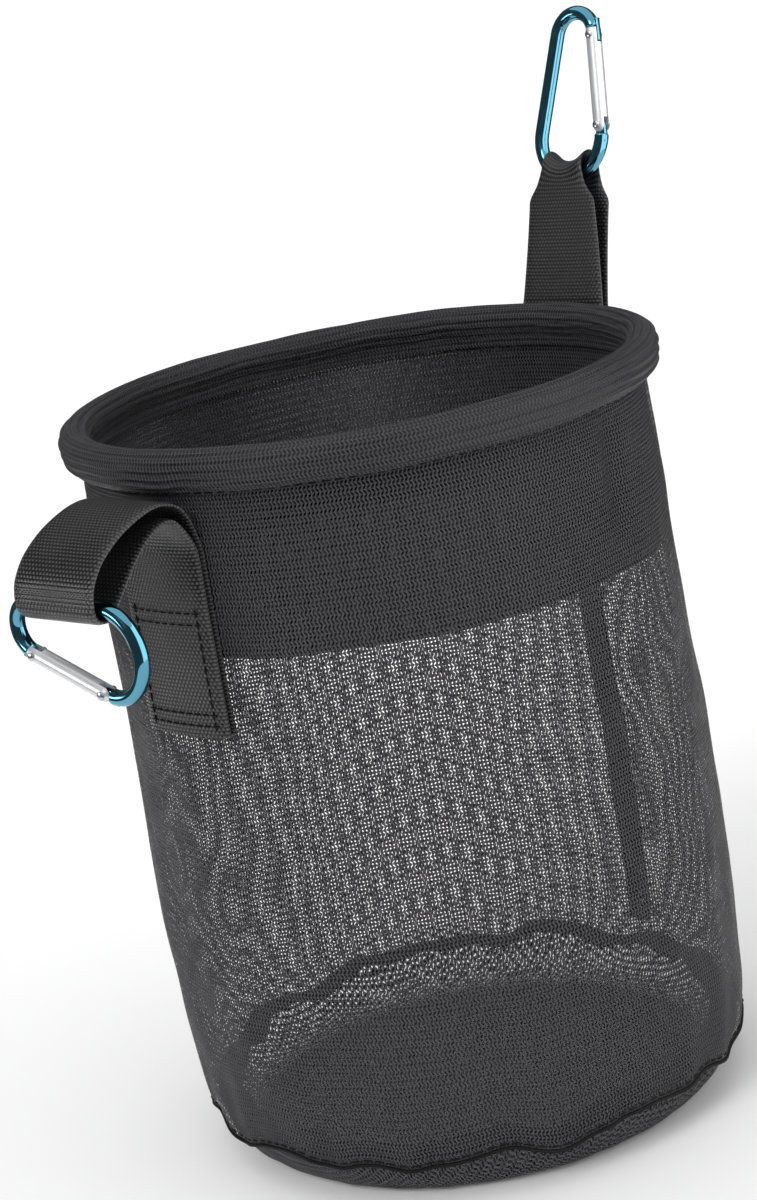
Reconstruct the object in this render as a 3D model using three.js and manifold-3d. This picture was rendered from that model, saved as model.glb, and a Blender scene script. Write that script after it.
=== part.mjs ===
// Peg bag: a round mesh bag with a hooped rim and two webbing straps, each holding a snap hook.
// Millimetres. Origin: centre of the flat underside. +Z up, rear strap at +Y, front strap at -Y.

import * as THREE from "three";
import { mergeVertices } from "three/addons/utils/BufferGeometryUtils.js";
import Module from "manifold-3d";

const wasm = await Module();
wasm.setup();

// Clearances
const SEWN_GAP = 0.3; // between layers of cloth that are sewn together
const RUNNING_GAP = 0.25; // between metal pieces that move on each other
const PIN_GAP = 0.15; // around a pin in its hole
const LOOP_GAP = 0.5; // between a hook's rod and the webbing that it hangs in

// The mesh bag
const RIM_TOP = 205;
const CLOTH = 0.7; // one layer of mesh
const HEM_RADIUS = 80;
const HEM_DEPTH = 11.5;
const HEM_BOTTOM = RIM_TOP - HEM_DEPTH;
const WALL_INSET = 5; // from the hem's outside in to the wall's, at the rim
const BARREL = 2.4; // how much wider the wall is at its widest ring
const WIDEST_AT = 75; // height of the widest ring
const WALL_RADIUS = HEM_RADIUS - WALL_INSET + BARREL; // outside, at the widest ring
const SEAM_HEIGHT = 7; // where the wall meets the base
const FLAT_RADIUS = 54; // flat middle of the base
const FACING_DEPTH = 52; // second layer of mesh inside the top
const HOOP_TUBE = 3.2; // outside radius of the tube in the hem
const HOOP_BORE = 1.8;
const HOOP_CUT = 2; // open joint between the tube's ends
const JOINER_LENGTH = 24;
const SEAM_ALLOWANCE = 7; // cloth turned in at the base seam
const SIDE_SEAM_WIDTH = 8;
const ROUND = 48; // segments around the bag

// The webbing straps
const STRAP_WIDTH = 30;
const WEBBING = 1.3; // one ply
const PATCH = 3.2; // two plies sewn to the wall
const FOLD_REACH = 2.2; // from the hem's outside to the fold line of the straps
const FOLD_DROP = 1.5; // from the hem's lower edge down to it
const FOLD_RADIUS = HEM_RADIUS + FOLD_REACH;
const FOLD_HEIGHT = HEM_BOTTOM - FOLD_DROP;
const PATCH_BOTTOM = 131;
const PATCH_TOP = FOLD_HEIGHT + SEWN_GAP; // middle of the slanted top end
const PATCH_TURN = 9; // the top of the patch that turns outward to pass the hem
const PATCH_SWING = 1.2; // how far it has turned outward halfway
const ROOT = 1.95; // from the fold line to the middle of a loop's lower end
const REAR_LEAN = THREE.MathUtils.degToRad(17); // the rear strap is pulled outward
const REAR_ROD = 46.5; // from the fold up to the rod of the rear hook
const REAR_TAPER = 9; // where the loop starts to narrow
const REAR_NECK_AT = REAR_ROD - 7; // where it is gathered in under the hook
const REAR_NECK = 11; // half its width there
const REAR_GATHER = 7; // half its width on the hook
const SWING_ROOM = 1.2; // around the bow of the rear hook, so that the hook can swing
const FRONT_ROD = new THREE.Vector2(26.5, -17); // spine of the front hook: outward and up from the fold
// The front loop's two plies in side view, outward and up from the fold
const FRONT_OUTER_PLY = [[1.7, 1.55], [4.5, 2.2], [10, 1.4], [17.5, -1.3], [24.2, -5.6], [28.2, -10.4], [29.5, -14.2]];
const FRONT_INNER_PLY = [[21.5, -16.4], [18.4, -13], [14.6, -9], [9.8, -5], [5, -1.9], [2, -0.35], [1, 0.6]];

// The snap hooks
const ROD = 2; // radius of the rod
const WIDE_END = 11.2; // radii of the two ends, to the middle of the rod
const NARROW_END = 6.75;
const END_SPACING = 28; // between the centres of the two ends
const GATE = 2.2; // radius of the gate
const PIN_INSET = 1; // from the end of the straight side to each gate pin
const PIN = 0.65;
const PIN_HEAD = 1.15;
const PIN_HEAD_HEIGHT = 0.45;
const TANG = 1.5; // thickness of the frame's flattened ends
const TANG_WIDTH = 1.55; // half the width of the hinge tang
const SIDE_ANGLE = Math.asin((WIDE_END - NARROW_END) / END_SPACING);
const GATE_LENGTH = END_SPACING * Math.cos(SIDE_ANGLE) - 2 * PIN_INSET;
const HINGE_SHOULDER = 2.9; // from the hinge pin down to the full rod
const NOSE_SHOULDER = 2.5; // from the latch pin up to the full rod
const NOSE_LIP = 0.9; // metal that the latch pin catches behind
const NOSE_NOTCH = PIN + RUNNING_GAP + 0.1; // radius of the notch for the latch pin
const NOSE_REACH = GATE - 0.1; // outer side of the nose, just inside the gate's
const GATE_OVERHANG = 1.9; // gate past the latch pin
const HINGE_SLOT_ROOT = TANG_WIDTH + 0.45; // slots in the gate's ends for the tangs
const NOSE_SLOT_ROOT = GATE_LENGTH - PIN - RUNNING_GAP - 1.5;
const HEAD_GAP = 0.1; // under each pin head
const SPRING_BORE = 1.35;
const SPRING_BORE_END = 16;
const PLUNGER_TIP = TANG_WIDTH + SEWN_GAP;
const PLUNGER_STEP = PLUNGER_TIP + 0.6; // where the plunger's tip widens to its body
const PLUNGER_HEAD = 5.6;
const SPRING_WIRE = 0.2;
const SPRING_COILS = 6;

// Colour, roughness and metalness of each material
const FINISHES = {
  mesh: [0x26262a, 0.85, 0],
  webbing: [0x18181a, 0.75, 0],
  hoop: [0x3a3a3c, 0.5, 0],
  anodised: [0x1f7fa3, 0.25, 0.9],
  silver: [0xc9cccf, 0.35, 0.9],
  steel: [0xa9abad, 0.3, 0.9],
};

// Geometry helpers

function piece(name, geometry, finish) {
  const [color, roughness, metalness] = FINISHES[finish];
  const mesh = new THREE.Mesh(geometry, new THREE.MeshStandardMaterial({ color, roughness, metalness }));
  mesh.name = name;
  return mesh;
}

function bare(geometry) {
  const positions = geometry.clone();
  for (const key of Object.keys(positions.attributes)) {
    if (key !== "position") positions.deleteAttribute(key);
  }
  return mergeVertices(positions, 1e-4);
}

function signedVolume(geometry) {
  const position = geometry.attributes.position;
  const index = geometry.index;
  const [a, b, c] = [new THREE.Vector3(), new THREE.Vector3(), new THREE.Vector3()];
  let volume = 0;
  for (let i = 0; i < index.count; i += 3) {
    a.fromBufferAttribute(position, index.getX(i));
    b.fromBufferAttribute(position, index.getX(i + 1));
    c.fromBufferAttribute(position, index.getX(i + 2));
    volume += a.dot(b.cross(c)) / 6;
  }
  return volume;
}

// Turns every face round if the solid is inside out.
function facingOut(geometry) {
  const clean = bare(geometry);
  if (signedVolume(clean) < 0) clean.index.array.reverse();
  clean.computeVertexNormals();
  return clean;
}

function solid(geometry) {
  const clean = facingOut(geometry);
  return new wasm.Manifold(
    new wasm.Mesh({
      numProp: 3,
      vertProperties: new Float32Array(clean.attributes.position.array),
      triVerts: new Uint32Array(clean.index.array),
    }),
  );
}

function geometryOf(manifold) {
  const mesh = manifold.getMesh();
  const geometry = new THREE.BufferGeometry();
  geometry.setAttribute("position", new THREE.BufferAttribute(new Float32Array(mesh.vertProperties), 3));
  geometry.setIndex(new THREE.BufferAttribute(new Uint32Array(mesh.triVerts), 1));
  geometry.computeVertexNormals();
  return geometry;
}

// Turns a profile of [radius, height] points about Z. A ring's profile is closed here.
function turned(profile, { ring = false, segments = ROUND } = {}) {
  const points = profile.map(([radius, height]) => new THREE.Vector2(radius, height));
  if (ring) points.push(points[0].clone());
  return facingOut(new THREE.LatheGeometry(points, segments).rotateX(Math.PI / 2));
}

function box(width, depth, height, x, y, z) {
  return new THREE.BoxGeometry(width, depth, height).translate(x, y, z);
}

// A cylinder along Y between two heights, and one along Z through a point.
function rodAlongY(radius, from, to, sides = 16) {
  return new THREE.CylinderGeometry(radius, radius, to - from, sides).translate(0, (from + to) / 2, 0);
}

function pinAlongZ(radius, length, y, sides = 16) {
  return new THREE.CylinderGeometry(radius, radius, length, sides).rotateX(Math.PI / 2).translate(0, y, 0);
}

function circle(radius, sides) {
  const shape = new THREE.Shape();
  for (let i = 0; i < sides; i++) {
    const angle = (2 * Math.PI * i) / sides;
    const point = [radius * Math.cos(angle), radius * Math.sin(angle)];
    if (i === 0) shape.moveTo(...point);
    else shape.lineTo(...point);
  }
  shape.closePath();
  return shape;
}

function swept(shape, path, steps) {
  return facingOut(new THREE.ExtrudeGeometry(shape, { steps, extrudePath: path, curveSegments: 8 }));
}

// Both sides of a line of 2-D points, half a thickness away on each side.
function thickened(points, thickness, closed = false) {
  const last = points.length - 1;
  const sides = { left: [], right: [] };
  points.forEach((point, i) => {
    const before = points[closed ? (i + last) % points.length : Math.max(i - 1, 0)];
    const after = points[closed ? (i + 1) % points.length : Math.min(i + 1, last)];
    const along = after.clone().sub(before).normalize();
    const across = new THREE.Vector2(-along.y, along.x).multiplyScalar(thickness / 2);
    sides.left.push(point.clone().add(across));
    sides.right.push(point.clone().sub(across));
  });
  return sides;
}

function sheetProfile(points, thickness) {
  const { left, right } = thickened(points, thickness);
  return [...left, ...right.reverse()].map((point) => [point.x, point.y]);
}

function heights(from, to, steps) {
  return Array.from({ length: steps + 1 }, (_, i) => from + ((to - from) * i) / steps);
}

// The mesh bag

function wallRadius(height) {
  return WALL_RADIUS - BARREL * ((height - WIDEST_AT) / (RIM_TOP - WIDEST_AT)) ** 2;
}

// A layer that follows the wall, from its outer face at an offset inward by a thickness.
function wallLayer(offset, thickness, from, to, steps) {
  const levels = heights(from, to, steps);
  const outer = levels.map((z) => [wallRadius(z) + offset, z]);
  const inner = levels.map((z) => [wallRadius(z) + offset - thickness, z]).reverse();
  return turned([...outer, ...inner], { ring: true });
}

const HOOP_RADIUS = HEM_RADIUS - CLOTH - SEWN_GAP - HOOP_TUBE;
const HOOP_HEIGHT = RIM_TOP - CLOTH - SEWN_GAP - HOOP_TUBE;
const WALL_TOP = HOOP_HEIGHT - HOOP_TUBE - 2 * SEWN_GAP;
const FACING_OFFSET = -(CLOTH + SEWN_GAP);

function meshWall() {
  return piece("mesh_wall", wallLayer(0, CLOTH, SEAM_HEIGHT, WALL_TOP, 8), "mesh");
}

function topFacing() {
  const bottom = RIM_TOP - FACING_DEPTH;
  return piece("top_facing", wallLayer(FACING_OFFSET, CLOTH, bottom, WALL_TOP, 3), "mesh");
}

// The hem is folded over the hoop and closes on the wall outside and the facing inside.
function rimHem() {
  const middle = CLOTH / 2;
  const hoop = new THREE.Vector2(HOOP_RADIUS, HOOP_HEIGHT);
  const bulge = HOOP_TUBE + SEWN_GAP + middle;
  const tuck = HEM_BOTTOM + 0.22 * HEM_DEPTH;
  const outerEdge = wallRadius(HEM_BOTTOM) + SEWN_GAP + middle;
  const innerEdge = wallRadius(HEM_BOTTOM) + FACING_OFFSET - CLOTH - SEWN_GAP - middle;
  const fold = [
    new THREE.Vector2(outerEdge, HEM_BOTTOM),
    new THREE.Vector2(HOOP_RADIUS + 0.85 * bulge, tuck),
    ...arcPoints(hoop, bulge, -0.2, Math.PI + 0.2, 8),
    new THREE.Vector2(innerEdge, tuck),
    new THREE.Vector2(innerEdge, HEM_BOTTOM),
  ];
  return piece("rim_hem", turned(sheetProfile(fold, CLOTH), { ring: true }), "mesh");
}

// An arc of the hoop's circle, as a path at the hoop's height.
function hoopArc(from, to) {
  const points = heights(from, to, 48).map(
    (angle) => new THREE.Vector3(HOOP_RADIUS * Math.cos(angle), HOOP_RADIUS * Math.sin(angle), HOOP_HEIGHT),
  );
  return new THREE.CatmullRomCurve3(points);
}

function rimHoop() {
  const section = circle(HOOP_TUBE, 8);
  section.holes.push(circle(HOOP_BORE, 6));
  const half = HOOP_CUT / 2 / HOOP_RADIUS;
  return piece("rim_hoop", swept(section, hoopArc(half, 2 * Math.PI - half), ROUND), "hoop");
}

function hoopJoiner() {
  const half = JOINER_LENGTH / 2 / HOOP_RADIUS;
  const plug = circle(HOOP_BORE - 2 * SEWN_GAP, 6);
  return piece("hoop_joiner", swept(plug, hoopArc(-half, half), 8), "hoop");
}

function basePanel() {
  const edge = wallRadius(SEAM_HEIGHT) - CLOTH;
  const bowl = new THREE.SplineCurve([
    new THREE.Vector2(FLAT_RADIUS, CLOTH / 2),
    new THREE.Vector2(FLAT_RADIUS + 0.4 * (edge - FLAT_RADIUS), 0.12 * SEAM_HEIGHT + CLOTH / 2),
    new THREE.Vector2(FLAT_RADIUS + 0.75 * (edge - FLAT_RADIUS), 0.42 * SEAM_HEIGHT),
    new THREE.Vector2(edge, SEAM_HEIGHT - CLOTH),
  ]);
  const { left, right } = thickened(bowl.getPoints(5), CLOTH);
  const under = right.map((point) => [point.x, point.y]);
  const over = left.map((point) => [point.x, point.y]).reverse();
  under[0] = [FLAT_RADIUS, 0];
  over[over.length - 1] = [FLAT_RADIUS, CLOTH];
  return piece("base_panel", turned([[0, 0], ...under, ...over, [0, CLOTH]]), "mesh");
}

// The cut edges of wall and base, turned in together and bound.
function baseSeam() {
  const outer = wallRadius(SEAM_HEIGHT) - CLOTH - SEWN_GAP;
  const bottom = SEAM_HEIGHT + SEWN_GAP;
  const top = bottom + 2 * CLOTH;
  const profile = [
    [outer - SEAM_ALLOWANCE, bottom],
    [outer, bottom],
    [outer, top],
    [outer - SEAM_ALLOWANCE, top],
  ];
  return piece("base_seam", turned(profile, { ring: true }), "mesh");
}

// A strip of a wall layer, cut to a width on the +Y or -Y side.
function wallStrip(layer, width, side) {
  const cutter = box(width, 2 * HEM_RADIUS, 2 * RIM_TOP, 0, side * HEM_RADIUS, 0);
  return geometryOf(solid(layer).intersect(solid(cutter)));
}

function sideSeam() {
  const bottom = SEAM_HEIGHT + 2 * SEWN_GAP + 2 * CLOTH;
  const top = RIM_TOP - FACING_DEPTH - SEWN_GAP;
  const layer = wallLayer(FACING_OFFSET, 2 * CLOTH, bottom, top, 8);
  return piece("side_seam", wallStrip(layer, SIDE_SEAM_WIDTH, 1), "mesh");
}

// The straps

// The plies sewn to the wall. Their top turns outward to pass the hem.
function strapPatch(name, side) {
  const middle = SEWN_GAP + PATCH / 2;
  const leaving = PATCH_TOP - PATCH_TURN;
  const sewn = heights(PATCH_BOTTOM, leaving, 5).map((z) => new THREE.Vector2(wallRadius(z) + middle, z));
  const turn = new THREE.Vector2(wallRadius(PATCH_TOP) + middle + PATCH_SWING, PATCH_TOP - PATCH_TURN / 2);
  const top = new THREE.Vector2(FOLD_RADIUS - PATCH / 2, PATCH_TOP);
  const layer = turned(sheetProfile([...sewn, turn, top], PATCH), { ring: true });
  return piece(name, wallStrip(layer, STRAP_WIDTH, side), "webbing");
}

// A closed loop of webbing. Its side view is a ring of points, outward and up from the fold, and it
// runs across X. halfWidth gives half its width at a height, and rise lifts it away from the middle.
function webbingLoop(ring, halfWidth, rise) {
  const { left, right } = thickened(ring, WEBBING, true);
  const stations = heights(-1, 1, 6);
  const count = ring.length;
  const positions = [];
  const faces = [];
  for (const station of stations) {
    for (let k = 0; k < count; k++) {
      const x = station * halfWidth(ring[k].y);
      const lift = rise(x, ring[k].y);
      positions.push(x, -left[k].x, left[k].y + lift);
      positions.push(x, -right[k].x, right[k].y + lift);
    }
  }
  const quad = (a, b, c, d) => faces.push(a, b, c, a, c, d);
  const at = (i, k, layer) => 2 * (i * count + (k % count)) + layer;
  const end = stations.length - 1;
  for (let k = 0; k < count; k++) {
    for (let i = 0; i < end; i++) {
      quad(at(i, k, 0), at(i, k + 1, 0), at(i + 1, k + 1, 0), at(i + 1, k, 0));
      quad(at(i, k, 1), at(i + 1, k, 1), at(i + 1, k + 1, 1), at(i, k + 1, 1));
    }
    quad(at(0, k + 1, 0), at(0, k, 0), at(0, k, 1), at(0, k + 1, 1));
    quad(at(end, k, 0), at(end, k + 1, 0), at(end, k + 1, 1), at(end, k, 1));
  }
  const geometry = new THREE.BufferGeometry();
  geometry.setAttribute("position", new THREE.Float32BufferAttribute(positions, 3));
  geometry.setIndex(faces);
  return facingOut(geometry);
}

function arcPoints(centre, radius, from, to, steps) {
  return heights(from, to, steps).map(
    (angle) => new THREE.Vector2(centre.x + radius * Math.cos(angle), centre.y + radius * Math.sin(angle)),
  );
}

// The rear loop stands up in two plies and is gathered over the bow of its hook.
function rearLoop() {
  const ply = WEBBING / 2 + SEWN_GAP;
  const wrap = ROD + SWING_ROOM + WEBBING / 2;
  const { clamp, inverseLerp, lerp, smoothstep } = THREE.MathUtils;
  const bend = REAR_ROD - 0.4 * wrap; // the plies draw apart up to here, where they bend over the hook
  const apart = (v) => lerp(ply, wrap, (v / bend) ** 2);
  const up = heights(ROOT + SEWN_GAP, bend, 6).map((v) => new THREE.Vector2(apart(v), v));
  const over = arcPoints(new THREE.Vector2(0, REAR_ROD), wrap, 0, Math.PI, 8);
  const down = up.map((point) => new THREE.Vector2(-point.x, point.y)).reverse();
  const under = arcPoints(new THREE.Vector2(0, ROOT), ply, -Math.PI, 0, 4);
  const ring = [...up, ...over, ...down, ...under];
  const halfWidth = (v) => {
    const tapered = lerp(STRAP_WIDTH / 2, REAR_NECK, clamp(inverseLerp(REAR_TAPER, REAR_NECK_AT, v), 0, 1));
    return lerp(tapered, REAR_GATHER, smoothstep(v, REAR_NECK_AT, REAR_ROD));
  };
  const eye = WIDE_END - ROD - SEWN_GAP; // the fold stays inside this circle
  const rise = (x, v) => {
    const across = Math.min(Math.abs(x), REAR_GATHER);
    return (eye - Math.sqrt(eye ** 2 - across ** 2)) * smoothstep(v, REAR_ROD - wrap, REAR_ROD);
  };
  return webbingLoop(ring, halfWidth, rise);
}

// The front loop droops outward from the fold and wraps the spine of its hook.
function frontLoop() {
  const wrap = ROD + LOOP_GAP + WEBBING / 2;
  const toPoint = ([u, v]) => new THREE.Vector2(u, v);
  const around = arcPoints(FRONT_ROD, wrap, 0, -0.75 * Math.PI, 5);
  const control = [...FRONT_OUTER_PLY.map(toPoint), ...around, ...FRONT_INNER_PLY.map(toPoint)];
  const curve = new THREE.CatmullRomCurve3(control.map((p) => new THREE.Vector3(p.x, p.y, 0)), true);
  const ring = curve.getPoints(36).slice(0, -1).map((p) => new THREE.Vector2(p.x, p.y));
  return webbingLoop(ring, () => STRAP_WIDTH / 2, () => 0);
}

// The snap hooks. In a hook's own frame the wide end is centred on the origin, +Y runs to the
// narrow end, +X to the gate, and Z is square to the hook.

// The rod's middle line, from the hinge round the wide end, up the spine and over to the nose.
class RodPath extends THREE.Curve {
  constructor() {
    super();
    this.wideFrom = SIDE_ANGLE - (HINGE_SHOULDER - PIN_INSET) / WIDE_END;
    this.wideTo = -Math.PI - SIDE_ANGLE;
    this.narrowFrom = Math.PI - SIDE_ANGLE;
    this.narrowTo = SIDE_ANGLE + (NOSE_SHOULDER - PIN_INSET) / NARROW_END;
    this.wideLength = (this.wideFrom - this.wideTo) * WIDE_END;
    this.spineLength = END_SPACING * Math.cos(SIDE_ANGLE);
    this.narrowLength = (this.narrowFrom - this.narrowTo) * NARROW_END;
  }

  getPoint(t, target = new THREE.Vector3()) {
    let run = t * (this.wideLength + this.spineLength + this.narrowLength);
    if (run < this.wideLength) {
      const angle = this.wideFrom - run / WIDE_END;
      return target.set(WIDE_END * Math.cos(angle), WIDE_END * Math.sin(angle), 0);
    }
    run -= this.wideLength;
    if (run < this.spineLength) {
      const x = -WIDE_END * Math.cos(SIDE_ANGLE) + run * Math.sin(SIDE_ANGLE);
      const y = WIDE_END * Math.sin(SIDE_ANGLE) + run * Math.cos(SIDE_ANGLE);
      return target.set(x, y, 0);
    }
    const angle = this.narrowFrom - (run - this.spineLength) / NARROW_END;
    return target.set(NARROW_END * Math.cos(angle), END_SPACING + NARROW_END * Math.sin(angle), 0);
  }
}

// From the gate's frame to the hook's: the origin is the hinge pin and +Y runs along the gate.
function gateFrame() {
  const hinge = new THREE.Vector3(
    WIDE_END * Math.cos(SIDE_ANGLE) - PIN_INSET * Math.sin(SIDE_ANGLE),
    WIDE_END * Math.sin(SIDE_ANGLE) + PIN_INSET * Math.cos(SIDE_ANGLE),
    0,
  );
  return new THREE.Matrix4().makeRotationZ(SIDE_ANGLE).setPosition(hinge);
}

function hookFrame() {
  const rod = solid(swept(circle(ROD, 10), new RodPath(), 40));
  const hole = solid(pinAlongZ(PIN + PIN_GAP, 4 * GATE, 0));
  const hingeTang = solid(pinAlongZ(TANG_WIDTH, TANG, 0))
    .add(solid(box(2 * TANG_WIDTH, HINGE_SHOULDER + ROD, TANG, 0, -(HINGE_SHOULDER + ROD) / 2, 0)))
    .subtract(hole);
  const lip = NOSE_NOTCH + NOSE_LIP;
  const nose = box(TANG_WIDTH + NOSE_REACH, lip + NOSE_SHOULDER + ROD, TANG, 0, 0, 0);
  nose.translate((NOSE_REACH - TANG_WIDTH) / 2, GATE_LENGTH + (NOSE_SHOULDER + ROD - lip) / 2, 0);
  const noseTang = solid(nose)
    .subtract(solid(pinAlongZ(NOSE_NOTCH, 4 * GATE, GATE_LENGTH)))
    .subtract(solid(box(2 * GATE, 2 * NOSE_NOTCH, 4 * GATE, -GATE, GATE_LENGTH, 0)));
  const place = geometryOf(hingeTang.add(noseTang)).applyMatrix4(gateFrame());
  return geometryOf(rod.add(solid(place)));
}

function gateTube() {
  const wide = 4 * GATE;
  const slot = TANG + 2 * RUNNING_GAP;
  const tube = solid(rodAlongY(GATE, 0, GATE_LENGTH + GATE_OVERHANG, 20));
  const heel = solid(rodAlongY(GATE, -GATE, GATE / 2, 20)).intersect(solid(pinAlongZ(GATE, wide, 0, 20)));
  const hingeSlot = box(wide, HINGE_SLOT_ROOT + wide, slot, 0, (HINGE_SLOT_ROOT - wide) / 2, 0);
  const noseSlot = box(wide, wide, slot, 0, NOSE_SLOT_ROOT + wide / 2, 0);
  const cut = tube
    .add(heel)
    .subtract(solid(hingeSlot))
    .subtract(solid(noseSlot))
    .subtract(solid(rodAlongY(SPRING_BORE, HINGE_SLOT_ROOT / 2, SPRING_BORE_END, 12)))
    .subtract(solid(pinAlongZ(PIN + PIN_GAP, wide, 0)))
    .subtract(solid(pinAlongZ(PIN + PIN_GAP, wide, GATE_LENGTH)));
  return geometryOf(cut);
}

// A pin through the gate with a flat head on each side.
function gatePin(y) {
  const neck = GATE + HEAD_GAP;
  const end = neck + PIN_HEAD_HEIGHT;
  const profile = [
    [0, -end], [PIN_HEAD, -end], [PIN_HEAD, -neck], [PIN, -neck],
    [PIN, neck], [PIN_HEAD, neck], [PIN_HEAD, end], [0, end],
  ];
  return turned(profile, { segments: 10 }).translate(0, y, 0);
}

// Pushes on the hinge tang from inside the gate, so that the gate shuts by itself.
function gatePlunger() {
  const body = SPRING_BORE - RUNNING_GAP;
  const tip = 0.7 * body;
  const profile = [
    [0, PLUNGER_TIP], [tip, PLUNGER_TIP],
    [body, PLUNGER_STEP], [body, PLUNGER_HEAD], [0, PLUNGER_HEAD],
  ];
  return turned(profile, { segments: 12 }).rotateX(-Math.PI / 2);
}

function gateSpring() {
  const start = PLUNGER_HEAD + SEWN_GAP + SPRING_WIRE;
  const length = SPRING_BORE_END - SEWN_GAP - SPRING_WIRE - start;
  const coil = SPRING_BORE - RUNNING_GAP - SPRING_WIRE;
  const steps = 8 * SPRING_COILS;
  const points = heights(0, 1, steps).map((t) => {
    const angle = 2 * Math.PI * SPRING_COILS * t;
    return new THREE.Vector3(coil * Math.cos(angle), start + length * t, coil * Math.sin(angle));
  });
  return swept(circle(SPRING_WIRE, 4), new THREE.CatmullRomCurve3(points), steps);
}

function snapHook(prefix) {
  const hook = new THREE.Group();
  const gate = new THREE.Group();
  gate.applyMatrix4(gateFrame());
  gate.add(
    piece(`${prefix}_gate`, gateTube(), "silver"),
    piece(`${prefix}_hinge_pin`, gatePin(0), "steel"),
    piece(`${prefix}_latch_pin`, gatePin(GATE_LENGTH), "steel"),
    piece(`${prefix}_gate_plunger`, gatePlunger(), "steel"),
    piece(`${prefix}_gate_spring`, gateSpring(), "steel"),
  );
  hook.add(piece(`${prefix}_frame`, hookFrame(), "anodised"), gate);
  return hook;
}

// Rear strap: upright, leaning outward, with its hook in line above it and the gate at +X.
function rearStrap() {
  const strap = new THREE.Group();
  strap.position.set(0, FOLD_RADIUS, FOLD_HEIGHT);
  strap.rotation.x = -REAR_LEAN;
  const hook = snapHook("rear_hook");
  hook.position.z = REAR_ROD + WIDE_END;
  hook.rotation.x = Math.PI / 2;
  strap.add(piece("rear_strap_loop", rearLoop(), "webbing"), hook);
  return strap;
}

// Front strap: folded outward, with its hook hanging by the spine, the narrow end at -X and the gate below.
function frontStrap() {
  const strap = new THREE.Group();
  strap.position.set(0, -FOLD_RADIUS, FOLD_HEIGHT);
  const hook = snapHook("front_hook");
  const spine = new RodPath().spineLength;
  hook.position.set(-WIDE_END * Math.cos(SIDE_ANGLE), WIDE_END * Math.sin(SIDE_ANGLE), 0).negate();
  const hanger = new THREE.Group();
  const gateDown = new THREE.Vector3(0, 0, -1);
  const narrowLeft = new THREE.Vector3(-1, 0, 0);
  const square = new THREE.Vector3().crossVectors(gateDown, narrowLeft);
  hanger.matrix
    .makeBasis(gateDown, narrowLeft, square)
    .multiply(new THREE.Matrix4().makeRotationZ(SIDE_ANGLE))
    .setPosition(spine / 2, -FRONT_ROD.x, FRONT_ROD.y);
  hanger.matrix.decompose(hanger.position, hanger.quaternion, hanger.scale);
  hanger.add(hook);
  strap.add(piece("front_strap_loop", frontLoop(), "webbing"), hanger);
  return strap;
}

const pegBag = new THREE.Group();
pegBag.name = "peg_bag";
pegBag.add(meshWall(), topFacing(), rimHem(), rimHoop(), hoopJoiner(), basePanel(), baseSeam(), sideSeam());
pegBag.add(strapPatch("rear_strap_patch", 1), strapPatch("front_strap_patch", -1));
pegBag.add(rearStrap(), frontStrap());

export default pegBag;
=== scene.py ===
# %% [markdown]
# # A mesh peg bag
# The bag is a tube of black knitted mesh on a flat round base. A hoop in the hem holds its mouth open.
# Two straps of webbing are sewn to the wall, and each holds a snap hook by a loop.
# Everything is built in the frame of the packed model, so a piece goes where its solid is. The scene is in
# metres.

# %% Load the frame
import math

import bmesh
import bpy
import numpy as np
from mathutils import Matrix, Vector, noise


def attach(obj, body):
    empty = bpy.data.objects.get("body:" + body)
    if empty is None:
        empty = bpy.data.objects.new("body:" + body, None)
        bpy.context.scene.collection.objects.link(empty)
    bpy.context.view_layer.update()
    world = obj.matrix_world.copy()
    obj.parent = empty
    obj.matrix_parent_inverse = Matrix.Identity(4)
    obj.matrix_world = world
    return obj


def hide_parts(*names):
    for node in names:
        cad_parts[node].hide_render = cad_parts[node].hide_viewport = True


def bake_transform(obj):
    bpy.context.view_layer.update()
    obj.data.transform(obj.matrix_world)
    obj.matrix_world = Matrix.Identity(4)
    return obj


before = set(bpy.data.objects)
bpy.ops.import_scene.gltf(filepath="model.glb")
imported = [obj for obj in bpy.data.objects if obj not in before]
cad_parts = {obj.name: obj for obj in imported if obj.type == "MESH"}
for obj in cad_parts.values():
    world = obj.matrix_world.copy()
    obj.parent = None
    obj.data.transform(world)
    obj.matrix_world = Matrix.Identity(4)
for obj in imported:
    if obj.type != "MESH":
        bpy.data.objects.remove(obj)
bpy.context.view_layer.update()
MM = 0.001

# %% [markdown]
# The sizes below are in millimetres and follow the solids, with a note where the slack cloth differs.
# The wall is a slight barrel, widest a third of the way up. Angles run round the bag from the front
# strap, so that 0 is -Y and half a turn is +Y.

# %% Sizes of the bag
RIM_TOP = 205
HEM_BOTTOM = 193.5
HOOP_RADIUS = 75.8
HOOP_HEIGHT = 200.8
HOOP_TUBE = 3.2  # radius of the hoop's own section
WALL_TOP = 197  # inside the hem
WALL_WIDEST = 77.4
WALL_WIDEST_AT = 75
WALL_TAPER = 2.4  # the wall's radius is this much less at the rim
SEAM_HEIGHT = 11.5  # a few millimetres above the seam of the solids, since the slack base bulges below it
CLOTH = 0.1  # thickness of one layer of mesh
LAYER_GAP = 0.7  # between two layers that are sewn together
FACING_BOTTOM = 151
FLAT_RADIUS = 63  # the base lies flat out to here, further than in the solids
FOLD_RADIUS = 82.2  # each strap folds on a level line, this far from the axis
FOLD_HEIGHT = 192
STRAP_HALF = 15  # half of the strap's width
WEBBING = 1.3  # thickness of the strap
PATCH_BOTTOM = 131  # foot of the strap's sewn part
TURN = 2 * math.pi


def wall_radius(z):
    return WALL_WIDEST - WALL_TAPER * ((z - WALL_WIDEST_AT) / (RIM_TOP - WALL_WIDEST_AT)) ** 2


def around(radius, theta, z):
    return Vector((radius * math.sin(theta), -radius * math.cos(theta), z))


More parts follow.
